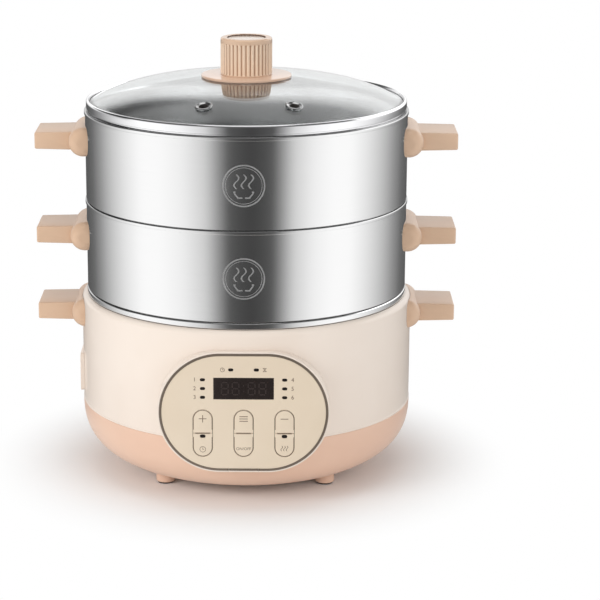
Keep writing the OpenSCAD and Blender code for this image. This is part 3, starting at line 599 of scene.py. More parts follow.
def circuit_board():
    """Green board with darker tracks and a slight weave."""
    finish = Finish("circuit_board", Coat_Weight=0.4, Coat_Roughness=0.2)
    tracks = finish.node(
        "ShaderNodeTexVoronoi", {"distance": "MANHATTAN", "feature": "DISTANCE_TO_EDGE"},
        {"Vector": finish.place, "Scale": 240.0})
    weave = finish.noise(2200, 2)
    finish.put(
        Base_Color=finish.mix(tracks.step(0.04, 0.08), paint(30, 104, 66), paint(20, 78, 50)),
        Roughness=0.4 + (weave - 0.5) * 0.2)
    return finish.bump(tracks.step(0.03, 0.09), 0.2, 0.00005)


def clear_glass():
    """Toughened glass with faint wipe marks. Light goes straight through to what it covers."""
    finish = Finish("clear_glass", Transmission_Weight=1.0, IOR=1.52)
    wipes = finish.noise(26, 5, 0.6)
    finish.put(
        Base_Color=finish.mix(wipes.step(0.3, 0.7), (0.95, 0.97, 0.97, 1.0), (0.92, 0.95, 0.95, 1.0)),
        Roughness=wipes.step(0.55, 0.8) * 0.03)
    finish.bump(finish.noise(18, 2), 0.02, 0.0002)
    clear = finish.node("ShaderNodeBsdfTransparent", None, {"Color": (0.93, 0.94, 0.94, 1.0)})
    shadow = finish.node("ShaderNodeLightPath", output="Is Shadow Ray")
    finish.feed(finish.output.inputs[0], finish.blend(shadow, finish.lit(), clear))
    return finish


def fluted_beige():
    """The handles' beige, with painted light on the knob: painted shade in its flutes, painted highlight
    on their ridges, painted shade in its pocket.
    """
    finish = Finish("fluted_beige", Coat_Weight=0.3, Coat_Roughness=0.12, Specular_IOR_Level=0.45)
    x, y, z = finish.axes()
    # Painted shade in the hollows of the flutes.
    painted_groove_shade = (y.math("ARCTAN2", y, x) * KNOB_FLUTES).math("COSINE").step(0.1, 1.0)
    radius = (x * x + y * y).math("SQRT")
    # Painted shade: the wall and floor of the pocket round the inlay are darkened to a deep brown.
    painted_pocket_shade = 1 - radius.step((POCKET_R + 0.05) * MM, (POCKET_R + 0.2) * MM)
    painted_pocket_shade = painted_pocket_shade * z.step((KNOB_TOP_Z - 2.4) * MM, (KNOB_TOP_Z - 2.2) * MM)
    fluted = radius.step((KNOB_R - 2.3) * MM, (KNOB_R - 1.1) * MM)
    fluted = fluted * z.step((KNOB_Z + 0.6) * MM, (KNOB_Z + 1.4) * MM)
    fluted = fluted * (1 - z.step((KNOB_TOP_Z - 5.0) * MM, (KNOB_TOP_Z - 4.0) * MM))
    # Painted highlight: the ridges of the flutes are paler than the beige.
    painted_ridge_highlight = finish.mix(fluted, paint(219, 186, 158), paint(240, 214, 188))
    shaded = finish.mix(painted_groove_shade * fluted, painted_ridge_highlight, paint(172, 130, 101))
    finish.put(
        Base_Color=finish.mix(painted_pocket_shade, shaded, paint(96, 66, 50)),
        Roughness=0.32 + (finish.noise(60, 4) - 0.5) * 0.12)
    return finish.bump(finish.noise(900, 2).step(0.35, 0.65), 0.03, 0.00005)


BOARD = circuit_board()
GLASS = clear_glass()
FLUTED = fluted_beige()
GLOSSY_BEIGE = moulded("disc_beige", paint(228, 192, 166), paint(223, 186, 160), rough=0.35, grain=0.02,
                       coat=0.8)
INLAY = moulded("knob_inlay", paint(228, 208, 190), paint(222, 201, 182), rough=0.2, grain=0.02, coat=0.4)

SLOT_FINISHES = {
    "pink_housing": PINK, "cream_housing": CREAM, "beige_handle": BEIGE, "taupe_trim": TAUPE,
    "fascia_beige": FASCIA, "window_smoke": SMOKE, "lens_black": LAMP,
    "sheet_steel": WALL_STEEL, "polished_steel": POLISHED, "shield_steel": SHIELD_STEEL,
    "screw_steel": SCREW_STEEL, "element_steel": ELEMENT_STEEL, "cast_aluminium": ALUMINIUM,
    "clear_glass": GLASS, "foot_rubber": RUBBER, "seal_rubber": SEAL,
    "gasket_silicone": SILICONE, "dark_plastic": DARK_PLASTIC, "white_plastic": WHITE_PLASTIC,
    "relay_blue": RELAY_BLUE, "circuit_board": BOARD, "winding": WINDING,
    "lead_jacket": LEAD_JACKET, "pin_brass": BRASS,
}
FLAT_STEEL_NODES = ("lower_steam_plate", "upper_steam_plate")

for subpart in frame["record"]["subparts"]:
    finish = SLOT_FINISHES[subpart["material_slot"]]
    if subpart["node"] in FLAT_STEEL_NODES:
        finish = PLATE_STEEL
    holder = frame["nodes"][subpart["node"]]
    if not holder.material_slots:
        holder.data.materials.append(finish.material)
    for holder_slot in holder.material_slots:
        holder_slot.material = finish.material


# ---------- housing ----------

def panel_pill(radius, front_y, back_y, edge=0.0):
    """A plate with the panel's round-ended outline."""
    wide = PANEL_HALF + radius
    low, high = PANEL_Z - radius, PANEL_Z + radius
    return plate(
        [(-wide, low, radius), (wide, low, radius), (wide, high, radius), (-wide, high, radius)],
        front_y, back_y, edge, 40)


def belly(inset):
    """The lower housing's curve, from its underside up to the seam."""
    return [belly_point(math.pi / 2 * i / BELLY_STEPS, inset) for i in range(BELLY_STEPS, -1, -1)]


def lower_housing():
    """The pink shell with its vent slots, and the posts of the four feet."""
    outside = belly(0)
    outside[-1] += (0.5,)
    inside = belly(WALL)[::-1]
    shell = turned([(0, UNDERSIDE_Z)] + outside + inside + [(0, UNDERSIDE_Z + WALL)])
    cutters = [panel_pill(PANEL_HOLE_R, AHEAD_Y, -85)]
    side_slot = block((SEAM_R - 30, -1.25, 14), (SEAM_R + 5, 1.25, 21), 0.8)
    cutters += [
        placed(side_slot, turn_z(side + 6 * i)) for side in (0, 180) for i in range(-2, 3)
    ]
    floor_slot = block((30, -1.5, 0), (54, 1.5, 12), 1.0)
    cutters += [placed(floor_slot, turn_z((i + 0.5) * 30)) for i in range(12)]
    shell = carve(shell, together(*cutters))
    post = turned([(0, PAD_SHOW), (FOOT_R, PAD_SHOW, 0.8), (FOOT_R, POST_TOP_Z), (0, POST_TOP_Z)], 48)
    return together(shell, placed(post, *FOOT_SPOTS))


def upper_housing():
    """The cream shell, with a skirt under it and holes for the panel and the inlet."""
    shell = turned([
        (SEAM_R, SPLIT_Z, 0.5), (SEAM_R, SPLIT_Z + 1.5, 0.3), (BODY_R, SPLIT_Z + 2.0),
        (BODY_R, SHOULDER_Z, 5.0), (SHOULDER_HOLE_R, SHOULDER_Z), (SHOULDER_HOLE_R, SHOULDER_Z - WALL),
        (BODY_R - WALL, SHOULDER_Z - WALL, 2.5), (BODY_R - WALL, SPLIT_Z + SKIRT_H),
        (SKIRT_IN_R, SPLIT_Z + SKIRT_H), (SKIRT_IN_R, SPLIT_Z - SKIRT_H),
        (SKIRT_OUT_R, SPLIT_Z - SKIRT_H), (SKIRT_OUT_R, SPLIT_Z)
    ], segments=10)
    inlet_hole = block((-150, -18.1, 73.9), (-125, 18.1, 98.1))
    return carve(shell, together(panel_pill(PANEL_HOLE_R, AHEAD_Y, -85), inlet_hole))


piece("lower_shell", lower_housing(), "base", PINK, ["lower_housing"])
piece("upper_shell", upper_housing(), "base", CREAM, ["upper_housing"])

foot_pad = turned([(0, 0), (PAD_R, 0, 0.6), (PAD_R, PAD_H), (0, PAD_H)], 48)
piece("rubber_feet", placed(foot_pad, *FOOT_SPOTS), "base", RUBBER, ["foot_pads"])


# ---------- pot and tiers ----------

def pot():
    """The fixed pot, with a step that takes the nest of the lower tier, and a rolled rim."""
    return turned([
        (0, POT_FLOOR_Z), (POT_R, POT_FLOOR_Z, 8), (POT_R, POT_STEP_Z, 1), (POT_NECK_R, POT_STEP_Z, 1.5),
        (POT_NECK_R, POT_RIM_Z), (POT_RIM_R, POT_RIM_Z, 0.6), (POT_RIM_R, POT_TOP_Z, 1.4),
        (RIM_IN_R, POT_TOP_Z, 1.2), (RIM_IN_R, POT_STEP_Z + SHEET_T, 1),
        (POT_R - SHEET_T, POT_STEP_Z + SHEET_T, 1.5), (POT_R - SHEET_T, POT_FLOOR_Z + SHEET_T, 7),
        (0, POT_FLOOR_Z + SHEET_T)
    ], segments=8)


def tier(seat_z):
    """A tier's wall with its rolled rim, its nest and ledge, and a shadow gap over the seat."""
    top = seat_z + TIER_H
    wall_z = seat_z + JOINT_GAP
    nest_z = seat_z - NEST_DEPTH
    return turned([
        (LEDGE_R, nest_z, 0.3), (NEST_R, nest_z, 0.8), (NEST_R, wall_z), (TIER_R, wall_z, 0.3),
        (TIER_R, top - RIM_H), (RIM_OUT_R, top - RIM_H, 0.4), (RIM_OUT_R, top, 0.7),
        (RIM_IN_R, top, 1.2), (RIM_IN_R, top - RIM_H, 0.4), (TIER_IN_R, top - RIM_H),
        (TIER_IN_R, wall_z + SHEET_T), (NEST_R - SHEET_T, wall_z + SHEET_T, 0.4),
        (NEST_R - SHEET_T, nest_z + SHEET_T), (LEDGE_R, nest_z + SHEET_T, 0.3)
    ])


piece("pot", pot(), "base", WALL_STEEL, ["cooking_pot"])
for level, seat in TIER_SEATS:
    piece(level + "_tier_wall", tier(seat), level + "_tier",
          WALL_STEEL, [level + "_tier_shell"])


# ---------- lid ----------

def glass():
    """The dome, with holes for the two vents and the knob's screw."""
    steps = 48
    radii = [GLASS_EDGE_R * i / steps for i in range(steps + 1)]
    over = [(r, dome_height(r)) for r in radii]
    under = [(r, max(dome_height(r) - GLASS_T, BAND_Z + 1)) for r in reversed(radii)]
    dome = turned(over + under)
    return carve(dome, together(at_vents(rod(VENT_HOLE_R + 1.0, -15, 15)), rod(3.5, 330, 350)))


def at_vents(bm):
    """Copies of a shape at both vents, square to the glass."""
    slope = math.atan(DOME_RISE * DOME_POWER * (VENT_AT / DOME_R) ** (DOME_POWER - 1) / DOME_R)
    on_glass = Matrix.Translation((VENT_AT, 0, dome_height(VENT_AT))) @ Matrix.Rotation(slope, 4, "Y")
    return placed(bm, *[turn_z(angle - 90) @ on_glass for angle in VENT_ANGLES])


def lid_band():
    """The steel band round the glass: an upright face over a shadow gap, and a narrow lip."""
    foot, top = LID_SEAT_Z - 5, BAND_Z + BAND_H
    face_z = BAND_Z - 0.7
    lip_r, lip_in_r = BAND_R - 3.2, BAND_R - 2.9
    groove_r = GLASS_EDGE_R + 0.1
    return turned([
        (NEST_R - 1, foot, 0.3), (NEST_R, foot, 0.3), (NEST_R, LID_SEAT_Z), (NEST_R + 0.4, LID_SEAT_Z),
        (NEST_R + 0.4, face_z), (BAND_R - 0.1, face_z, 0.3), (BAND_R, BAND_Z + 1.0),
        (BAND_R - 0.1, top - 1.3, 0.6), (BAND_R - 0.7, top - 0.4, 0.4), (BAND_R - 2.2, top, 0.4),
        (lip_r, dome_height(lip_r) + 0.3, 0.2), (lip_in_r, dome_height(lip_in_r) + 0.1),
        (groove_r, dome_height(GLASS_EDGE_R) + 0.1), (groove_r, BAND_Z + 0.9),
        (BAND_IN_R, BAND_Z + 0.9), (BAND_IN_R, BAND_Z, 0.3), (NEST_R - 1, BAND_Z)
    ])


def vent_grommets():
    """Rolled rings in the glass: a rounded flange over it and a smaller one under it."""
    lift = 0.15
    top = lift + VENT_FLANGE_T
    under, under_r = -GLASS_T - VENT_UNDER_T, VENT_FLANGE_R - 1.5
    neck_r = VENT_HOLE_R + 0.9
    return at_vents(turned([
        (VENT_HOLE_R, under, 0.2), (under_r, under, 0.3), (under_r, under + 0.9, 0.3),
        (neck_r, under + 0.9), (neck_r, lift), (VENT_FLANGE_R, lift, 0.4), (VENT_FLANGE_R, top, 0.8),
        (VENT_HOLE_R + 2.0, top, 0.4), (VENT_HOLE_R + 1.1, top - 0.5, 0.4), (VENT_HOLE_R, top - 0.9, 0.4)
    ], 96))


def vent_liners():
    """Dark linings of the two vents."""
    bore_r, under = VENT_HOLE_R - 0.4, -GLASS_T - VENT_UNDER_T
    return at_vents(turned([
        (bore_r, under), (VENT_HOLE_R, under), (VENT_HOLE_R, 0.5), (bore_r, 0.5)
    ], 64))


def knob_disc():
    """The disc under the knob, whose rim reaches down to the glass."""
    rim_z = dome_height(FLANGE_R) + 0.05
    return turned([
        (BOLT_R + 0.1, FLANGE_Z), (FLANGE_R - 1.0, FLANGE_Z), (FLANGE_R - 0.4, rim_z),
        (FLANGE_R, rim_z, 0.3), (FLANGE_R, KNOB_Z, 0.8), (BOLT_R + 0.1, KNOB_Z)
    ])


def knob():
    """The lid's grip, with upright flutes that run from its foot to just below its brow."""
    flute_at = KNOB_R + 0.8
    low, high = KNOB_Z + 0.8, KNOB_TOP_Z - 4.2
    steps = [0.2 * i for i in range(11)]
    rows = [low + step for step in steps] + [high - step for step in reversed(steps)]
    pocket_z = KNOB_TOP_Z - POCKET_DEPTH
    bm = turned(
        [(BOLT_R, KNOB_Z), (KNOB_R, KNOB_Z, 0.3)] + [(KNOB_R, z) for z in rows]
        + [(KNOB_R, KNOB_TOP_Z, 1.8), (POCKET_R, KNOB_TOP_Z, 0.6), (POCKET_R, pocket_z),
           (BOLT_R, pocket_z)],
        KNOB_FLUTES * 16, 8)
    pitch = 2 * math.pi / KNOB_FLUTES
    for vert in bm.verts:
        radius = math.hypot(vert.co.x, vert.co.y)
        angle = math.atan2(vert.co.y, vert.co.x)
        aside = (angle - round(angle / pitch) * pitch) * flute_at
        beyond = max(low + FLUTE_R - vert.co.z, vert.co.z - high + FLUTE_R, 0)
        reach = FLUTE_R ** 2 - aside ** 2 - beyond ** 2
        if radius > KNOB_R - 0.2 and reach > 0:
            share = min(1, (flute_at - math.sqrt(reach)) / radius)
            vert.co.x *= share
            vert.co.y *= share
    return bm


piece("lid_dome", glass(), "lid", GLASS, ["lid_glass"])
piece("lid_band", lid_band(), "lid", POLISHED, ["lid_rim"])
piece("vent_grommets", vent_grommets(), "lid", GROMMET, ["vent_eyelets"])
piece("vent_liners", vent_liners(), "lid", SEAL)
piece("knob_disc", knob_disc(), "lid", GLOSSY_BEIGE, ["lid_flange"])
piece("fluted_knob", knob(), "lid", FLUTED, ["lid_knob"])
inlay_z = KNOB_TOP_Z - POCKET_DEPTH
piece("knob_inlay", turned([
    (0, inlay_z), (INLAY_R, inlay_z), (INLAY_R, inlay_z + 1, 0.4), (0, inlay_z + 1)
]), "lid", INLAY, ["knob_cap"])


# ---------- handles ----------

def handle(grip_z, wall_r):
    """The handle on +X: a rounded bar against the wall, and a flat grip that grows from it."""
    bar = turned([
        (0, -BAR_HALF), (BAR_R, -BAR_HALF, BAR_DOME), (BAR_R, BAR_HALF, BAR_DOME), (0, BAR_HALF)
    ], 96, 16)
    bar = placed(bar, Matrix.Translation((TIER_R, 0, grip_z)) @ AROUND_X)
    root_x = TIER_R + 2
    grip = block(
        (root_x, -GRIP_HALF, grip_z - GRIP_T / 2), (GRIP_END, GRIP_HALF, grip_z + GRIP_T / 2), 1.4)
    for vert in grip.verts:
        share = (vert.co.x - root_x) / (GRIP_END - root_x)
        vert.co.z = grip_z + (vert.co.z - grip_z) * (1 - share * (1 - GRIP_END_T / GRIP_T))
    return carve(fuse(bar, grip), rod(wall_r + 0.1, grip_z - 40, grip_z + 40, 256))


for owner, body, height, wall_radius in (
        ("base", "base", BASE_GRIP_Z, BODY_R),
        ("lower", "lower_tier", LOWER_GRIP_Z, TIER_R),
        ("upper", "upper_tier", UPPER_GRIP_Z, TIER_R)):
    right = handle(height, wall_radius)
    left = placed(right, turn_z(180))
    for side, grip in (("_right", right), ("_left", left)):
        made = piece(
            owner + "_grip" + side, grip, body, BEIGE, [owner + "_handle" + side])
        made.visible_glossy = False      # the photo's steel shows no handles in it


# ---------- control panel ----------

def key_corners(lower, grow=0.0):
    """Outline of a key at X = 0: an arch over straight sides, or the same upside down."""
    wide = KEY_HALF + grow
    if lower:
        top, bottom = PAIR_GAP_Z - KEY_GAP / 2 + grow, PAIR_BOTTOM_Z - grow
        return [(-wide, bottom, wide), (wide, bottom, wide), (wide, top, 0.4), (-wide, top, 0.4)]
    top, bottom = PAIR_TOP_Z + grow, PAIR_GAP_Z + KEY_GAP / 2 - grow
    return [(-wide, bottom, 0.4), (wide, bottom, 0.4), (wide, top, wide), (-wide, top, wide)]


def shifted(corners, x):
    """An outline moved sideways."""
    return [(corner[0] + x,) + tuple(corner[1:]) for corner in corners]


def window_corners(grow, *rounding):
    """Outline of the display window."""
    wide, high = WINDOW_HALF_W + grow, WINDOW_HALF_H + grow
    signs = ((-1, -1), (1, -1), (1, 1), (-1, 1))
    return [(x * wide, WINDOW_Z + z * high) + rounding for x, z in signs]


def lamp_corners(x, z, grow=0.0):
    """Outline of a light at (x, z)."""
    wide, high = LAMP_HALF_W + grow, LAMP_HALF_H + grow
    round_end = high - 0.01
    return [(x - wide, z - high, round_end), (x + wide, z - high, round_end),
            (x + wide, z + high, round_end), (x - wide, z + high, round_end)]


def through_face(corners, segments=10):
    """A cutter of some outline, right through the panel's face."""
    return plate(corners, CUT_FRONT, CUT_BACK, segments=segments)


def fascia():
    """The printed sheet, with holes for the window, the lights and the keys."""
    sheet = panel_pill(FASCIA_R, FASCIA_FRONT, FASCIA_BACK, 0.2)
    window = through_face(window_corners(0.1))
    lamps = [through_face(lamp_corners(x, z, 0.1), 6) for x, z in LAMP_SPOTS]
    keys = [
        through_face(shifted(key_corners(lower, 0.35), x), 16)
        for x in KEY_COLUMNS for lower in (False, True)
    ]
    for cutter in keys[::2]:
        sheet = carve(sheet, cutter)
    return carve(sheet, together(window, *lamps, *keys[1::2]))


def panel_frame():
    """The cream lip round the panel, shaped to the housing's wall behind it."""
    lip = panel_pill(LIP_R, LIP_FRONT, -90, 0.7)
    lip = carve(lip, panel_pill(LIP_IN_R, AHEAD_Y, FASCIA_BACK))
    lip = carve(lip, panel_pill(TRAY_IN_R, AHEAD_Y, -80))
    wall = turned([(0, UNDERSIDE_Z - 0.1)] + belly(-0.1) + [
        (BODY_R + 0.1, SPLIT_Z + 2), (BODY_R + 0.1, 170), (0, 170)])
    tray = carve(panel_pill(TRAY_R, FASCIA_BACK, -140), panel_pill(TRAY_IN_R, AHEAD_Y, -120))
    return together(carve(lip, wall), tray)


def panel_ring():
    """The taupe ring round the fascia, with two small gaps in its lower side."""
    ring = carve(panel_pill(PANEL_R, RING_FRONT, FASCIA_BACK, 0.5), panel_pill(RING_IN_R, AHEAD_Y, -140))
    notch = block((-0.4, CUT_FRONT, PANEL_Z - 53), (0.4, CUT_BACK, PANEL_Z - 47))
    return carve(ring, placed(notch, *[Matrix.Translation((x, 0, 0)) for x in (-12.3, 12.3)]))


def key(x, lower):
    """A key cap. The outer two of the lower row have a hole for a light."""
    cap = plate(shifted(key_corners(lower), x), KEY_FRONT, KEY_BACK, 0.25, 16)
    if lower and x:
        return carve(cap, through_face(lamp_corners(x, KEY_LAMP_Z, 0.3), 6))
    return cap


piece("panel_lip", panel_frame(), "base", CREAM, ["panel_frame"])
piece("trim_ring", panel_ring(), "base", TAUPE, ["panel_ring"])
piece("fascia_sheet", fascia(), "base", FASCIA, ["panel_fascia"])
piece("display_glass", plate(window_corners(0.0, 0.5), FASCIA_FRONT, FASCIA_BACK, 0.2),
      "base", SMOKE, ["display_window"])

KEYS = {
    "key_plus": (-KEY_X, False), "key_menu": (0.0, False), "key_minus": (KEY_X, False),
    "key_preset": (-KEY_X, True), "key_power": (0.0, True), "key_warm": (KEY_X, True),
}
for key_name, (column, is_lower) in KEYS.items():
    piece(key_name + "_cap", key(column, is_lower), key_name + "_body",
          FASCIA, [key_name])


# ---------- printed marks ----------

def bar(x, z, width, height, front_y):
    """A flat printed bar, centred at (x, z)."""
    w, h = width / 2, height / 2
    return plate([(x - w, z - h), (x + w, z - h), (x + w, z + h), (x - w, z + h)],
                 front_y, front_y + PRINT_T)


def slanted(x0, z0, x1, z1, width, front_y):
    """A flat printed line from one point to another."""
    length = math.hypot(x1 - x0, z1 - z0)
    line = bar(0, 0, length + width, width, front_y)
    angle = math.atan2(z1 - z0, x1 - x0)
    return placed(line, Matrix.Translation(((x0 + x1) / 2, 0, (z0 + z1) / 2))
                  @ Matrix.Rotation(-angle, 4, "Y"))


def loop_line(x, z, radius, width, front_y):
    """A printed circle."""
    inner, outer = radius - width / 2, radius + width / 2
    ring = turned([(inner, 0), (outer, 0), (outer, PRINT_T), (inner, PRINT_T)], 48)
    return placed(ring, Matrix.Translation((x, front_y + PRINT_T, z)) @ AROUND_X)


def wave(x, z, height, width, front_y):
    """A rising line of steam."""
    bm = bmesh.new()
    bmesh.ops.create_grid(bm, x_segments=1, y_segments=20, size=0.5)
    for vert in bm.verts:
        share = vert.co.y
        swing = 0.16 * height * math.sin(2 * math.pi * share)
        vert.co = Vector((x + vert.co.x * width + swing, front_y, z + share * height))
    grown = bmesh.ops.extrude_face_region(bm, geom=bm.faces[:])
    back = [part for part in grown["geom"] if isinstance(part, bmesh.types.BMVert)]
    bmesh.ops.translate(bm, verts=back, vec=(0, PRINT_T, 0))
    return weld(bm)


def words(text, x, z, height, front_y):
    """Printed figures or letters, centred at (x, z)."""
    curve = bpy.data.curves.new("print", "FONT")
    curve.body = text
    curve.size = height / 0.7
    curve.align_x = "CENTER"
    curve.align_y = "CENTER"
    curve.extrude = PRINT_T / 2
    curve.resolution_u = 6
    thing = bpy.data.objects.new("print", curve)
    scene.collection.objects.link(thing)
    bpy.context.view_layer.update()
    bm = bmesh.new()
    bm.from_mesh(thing.to_mesh())
    thing.to_mesh_clear()
    bpy.data.objects.remove(thing)
    bpy.data.curves.remove(curve)
    upright = Matrix.Translation((x, front_y + PRINT_T / 2, z)) @ AROUND_X
    bmesh.ops.transform(bm, verts=bm.verts[:], matrix=upright)
    return weld(bm)


def clock(x, z, radius, front_y):
    """A printed clock face with two hands."""
    return together(
        loop_line(x, z, radius, 0.4, front_y),
        slanted(x, z, x, z + radius * 0.6, 0.35, front_y),
        slanted(x, z, x + radius * 0.45, z, 0.35, front_y))


def key_outline(x, lower):
    """The printed stroke round a key, open at its inner corners, and a line along the gap."""
    y = KEY_FRONT - PRINT_OUT
    stroke = plate(shifted(key_corners(lower, -0.12), x), y, y + PRINT_T, segments=16)
    stroke = carve(stroke, plate(shifted(key_corners(lower, -0.58), x), y - 1, y + 1, segments=16))
    side = -1 if lower else 1
    legs = sorted((PAIR_GAP_Z + side * 3.2, PAIR_GAP_Z - side * 4.8))
    corner = block((x - 20, y - 1, legs[0]), (x + 20, y + 1, legs[1]))
    along_gap = bar(x, PAIR_GAP_Z + side * (KEY_GAP / 2 + 0.2), 12.3, 0.36, y)
    return together(carve(stroke, corner), along_gap)


def fascia_marks():
    """A clock and an hourglass at the top lights, and numbers 1 to 6 at the others."""
    y = FASCIA_FRONT - PRINT_OUT
    x, low, high = TOP_MARK_X, TOP_LAMP_Z - 1.4, TOP_LAMP_Z + 1.4
    marks = [clock(-x, TOP_LAMP_Z, 1.7, y)]
    marks += [slanted(x - 1.4, z, x + 1.4, z, 0.4, y) for z in (low, high)]
    marks += [slanted(x - 1.2, low, x + 1.2, high, 0.35, y), slanted(x + 1.2, low, x - 1.2, high, 0.35, y)]
    for i, z in enumerate(LAMP_ROWS):
        marks.append(words(str(i + 1), -ROW_MARK_X, z, ROW_MARK_H, y))
        marks.append(words(str(i + 4), ROW_MARK_X, z, ROW_MARK_H, y))
    return together(*marks)


def key_marks():
    """Plain symbols: plus, list, minus, timer, on and off, and steam."""
    y = KEY_FRONT - PRINT_OUT
    return {
        "key_plus": together(
            bar(-KEY_X, SIGN_Z, SIGN_SIZE, SIGN_LINE, y),
            bar(-KEY_X, SIGN_Z, SIGN_LINE, SIGN_SIZE, y - 0.005)),
        "key_menu": together(*[bar(0, SIGN_Z + 2 * i, 7.0, SIGN_LINE, y) for i in (-1, 0, 1)]),
        "key_minus": bar(KEY_X, SIGN_Z, SIGN_SIZE, SIGN_LINE, y),
        "key_preset": clock(-KEY_X, 57.0, 2.4, y),
        "key_power": words("ON/OFF", 0, 57.5, 2.4, y),
        "key_warm": together(*[wave(KEY_X + 2.2 * i, 58.0, 4.6, 0.5, y) for i in (-1, 0, 1)]),
    }


def display_digits():
    """Four unlit seven-segment figures and a colon."""
    y = FASCIA_FRONT - 0.03
    parts = []
    for x in (-15.6, -6.6, 6.6, 15.6):
        parts += [bar(x, WINDOW_Z + dz, 4.2, 0.9, y) for dz in (-5.2, 0, 5.2)]
        parts += [bar(x + dx, WINDOW_Z + dz, 0.9, 3.6, y) for dx in (-2.75, 2.75) for dz in (-2.6, 2.6)]
    parts += [bar(0, WINDOW_Z + dz, 1.0, 1.0, y) for dz in (-2.4, 2.4)]
    return together(*parts)


piece("fascia_print", fascia_marks(), "base", MARK)
for key_name, mark in key_marks().items():
    mark = together(mark, key_outline(*KEYS[key_name]))
    piece(key_name + "_print", mark, key_name + "_body", MARK)
piece("display_segments", display_digits(), "base", DIGIT)


def steam_badge(middle_z):
    """An etched ring with three lines of steam over a bowl, wrapped on the tier's wall."""
    y = BADGE_OUT
    parts = [loop_line(0, 0, 17.0, 1.1, y), loop_line(0, 0, 15.0, 0.4, y)]
    parts += [wave(6.0 * i, 3.5, 12.0, 1.2, y) for i in (-1, 0, 1)]
    parts += [bar(0, -5.2, 17.0, 1.2, y)]
    parts += [slanted(side * 7.5, -6.4, side * 5.0, -9.6, 1.1, y) for side in (-1, 1)]
    parts += [bar(0, -10.0, 10.5, 1.1, y)]
    flat = together(*parts)
    for vert in flat.verts:
        angle = vert.co.x / TIER_R
        radius = TIER_R - vert.co.y
        vert.co = Vector((radius * math.sin(angle), -radius * math.cos(angle), vert.co.z + middle_z))
    return flat


for level, seat in TIER_SEATS:
    piece(level + "_tier_etching", steam_badge(seat + BADGE_UP), level + "_tier",
          ETCHED)


# ---------- studio ----------

def floor():
    """A pale floor. It takes the shadow near the object and is plain white to the eye beyond it."""
    sheet = bmesh.new()
    bmesh.ops.create_grid(sheet, x_segments=1, y_segments=1, size=9)
    ground = loose_object(sheet, "floor")
    finish = Finish("floor_paint", Roughness=0.9)
    x, y, _ = finish.axes()
    distance = (x * x + y * y) ** 0.5
    tone = finish.noise(3, 2)
    finish.put(Base_Color=finish.mix(tone, (0.94, 0.94, 0.94, 1.0), (0.925, 0.925, 0.925, 1.0)))
    glossy = finish.node("ShaderNodeLightPath", output="Is Glossy Ray")
    away = finish.blend(
        glossy * distance.step(0.17, 0.34), finish.lit(), finish.node("ShaderNodeBsdfTransparent"))
    white = finish.node("ShaderNodeEmission", None, {"Color": (1, 1, 1, 1), "Strength": 1.0})
    seen = finish.node("ShaderNodeLightPath", output="Is Camera Ray")
    through = finish.node("ShaderNodeLightPath", output="Is Transmission Ray")
    eye = seen.math("MAXIMUM", seen, through)
    finish.feed(finish.output.inputs[0], finish.blend(eye * distance.step(0.12, 0.24), away, white))
    ground.data.materials.append(finish.material)


# Brightness of what the steel and glass mirror. The bright bays lie to both sides.
BAY_LEVELS = (
    (0, 0.06), (16, 0.10), (24, 0.42), (32, 0.80), (48, 1.10), (64, 1.22), (80, 1.22), (96, 0.98),
    (112, 0.68), (128, 0.36), (144, 0.16), (160, 0.11), (180, 0.11)
)
SKY_LEVELS = (
    (0, 0.84), (0.15, 1.05), (0.27, 1.25), (0.33, 1.70), (0.46, 1.75), (0.52, 1.35), (0.60, 0.30),
    (0.75, 0.18), (1, 0.12)
)


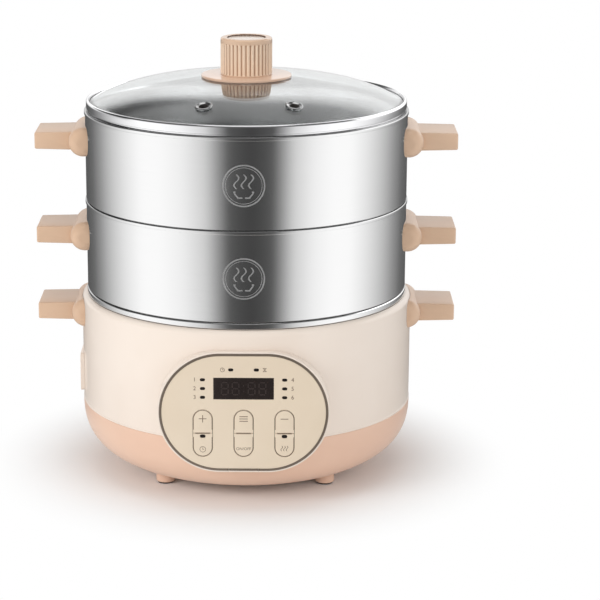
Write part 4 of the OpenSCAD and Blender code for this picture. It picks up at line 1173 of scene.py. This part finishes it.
def studio_world():
    """White for the eye, soft and even for light, and a studio with bright bays for gloss."""
    world = bpy.data.worlds.new("studio")
    scene.world = world
    world.use_nodes = True
    graph = Graph(world.node_tree)
    graph.tree.nodes.clear()
    toward = graph.node("ShaderNodeTexCoord")
    split = graph.tree.nodes.new("ShaderNodeSeparateXYZ")
    graph.tree.links.new(toward.socket, split.inputs[0])
    x, y, z = [Wire(graph, output) for output in split.outputs]
    aside = x + 0.075 * y
    azimuth = aside.math("ARCTAN2", aside, 0 - y).absolute() / math.pi
    bays = graph.ramp(azimuth, [(degrees / 180, grey) for degrees, grey in BAY_LEVELS])
    slope = z - 0.5 * x.math("MINIMUM", x, 0.0)
    flanks = (0 - x).step(0.07, 0.14).math("MAXIMUM", 0.7 * x.step(0.12, 0.26))
    flanks = flanks * z.step(0.50, 0.62) * (1 - z.step(0.78, 0.86)) * (1 - x.absolute().step(0.30, 0.40))
    back = graph.ramp(slope, SKY_LEVELS) * (1 + 0.7 * x) + 1.1 * flanks
    front = graph.mix(z.step(0.10, 0.30), bays, (0.16, 0.16, 0.16, 1))
    sky = graph.mix(y.step(-0.1, 0.1), front, back)
    gleam = graph.mix(z.step(-0.14, -0.08), bays, sky)
    ambient = graph.mix(z.step(0.1, 0.9), (0.86, 0.86, 0.86, 1), (0.42, 0.42, 0.42, 1))
    seen = graph.node("ShaderNodeLightPath", output="Is Camera Ray")
    through = graph.node("ShaderNodeLightPath", output="Is Transmission Ray")
    glossy = graph.node("ShaderNodeLightPath", output="Is Glossy Ray")
    soft = graph.mix(glossy.math("MAXIMUM", glossy, through), ambient, gleam)
    colour = graph.mix(seen, soft, (1, 1, 1, 1))
    light = graph.node("ShaderNodeBackground", None, {"Color": colour, "Strength": 1.0})
    graph.node("ShaderNodeOutputWorld", None, {0: light})


def softbox(name, place, aim, width, power, gleams=False):
    """A square area light. It shows in gloss only if it gleams, and never through glass."""
    lamp = bpy.data.lights.new(name, "AREA")
    lamp.shape = "RECTANGLE"
    lamp.size = width
    lamp.size_y = width
    lamp.energy = power
    thing = bpy.data.objects.new(name, lamp)
    scene.collection.objects.link(thing)
    thing.location = place
    thing.rotation_euler = (Vector(aim) - Vector(place)).to_track_quat("-Z", "Y").to_euler()
    thing.visible_glossy = gleams
    thing.visible_transmission = False


def camera():
    """The photograph's view: from a little above, a little to the right of straight ahead."""
    away, height = 1.898, 0.6513
    lens = bpy.data.cameras.new("camera")
    lens.lens = 132.66
    lens.sensor_width = 36
    lens.shift_x = 0.0893
    eye = bpy.data.objects.new("camera", lens)
    scene.collection.objects.link(eye)
    swing = math.radians(0.9)
    eye.location = (away * math.sin(swing), -away * math.cos(swing), height)
    eye.rotation_euler = (math.radians(90 - 14.91), 0, swing)
    lens.clip_end = 60
    scene.camera = eye


floor()
studio_world()
softbox("key_light", (-1.8, -1.5, 1.1), (0, 0, 0.18), 0.9, 22)
softbox("fill_light", (1.5, -1.5, 1.0), (0, 0, 0.18), 0.9, 7)
softbox("top_light", (0, -0.1, 2.2), (0, 0, 0.2), 1.2, 7, gleams=True)
camera()
scene.view_settings.view_transform = "Standard"
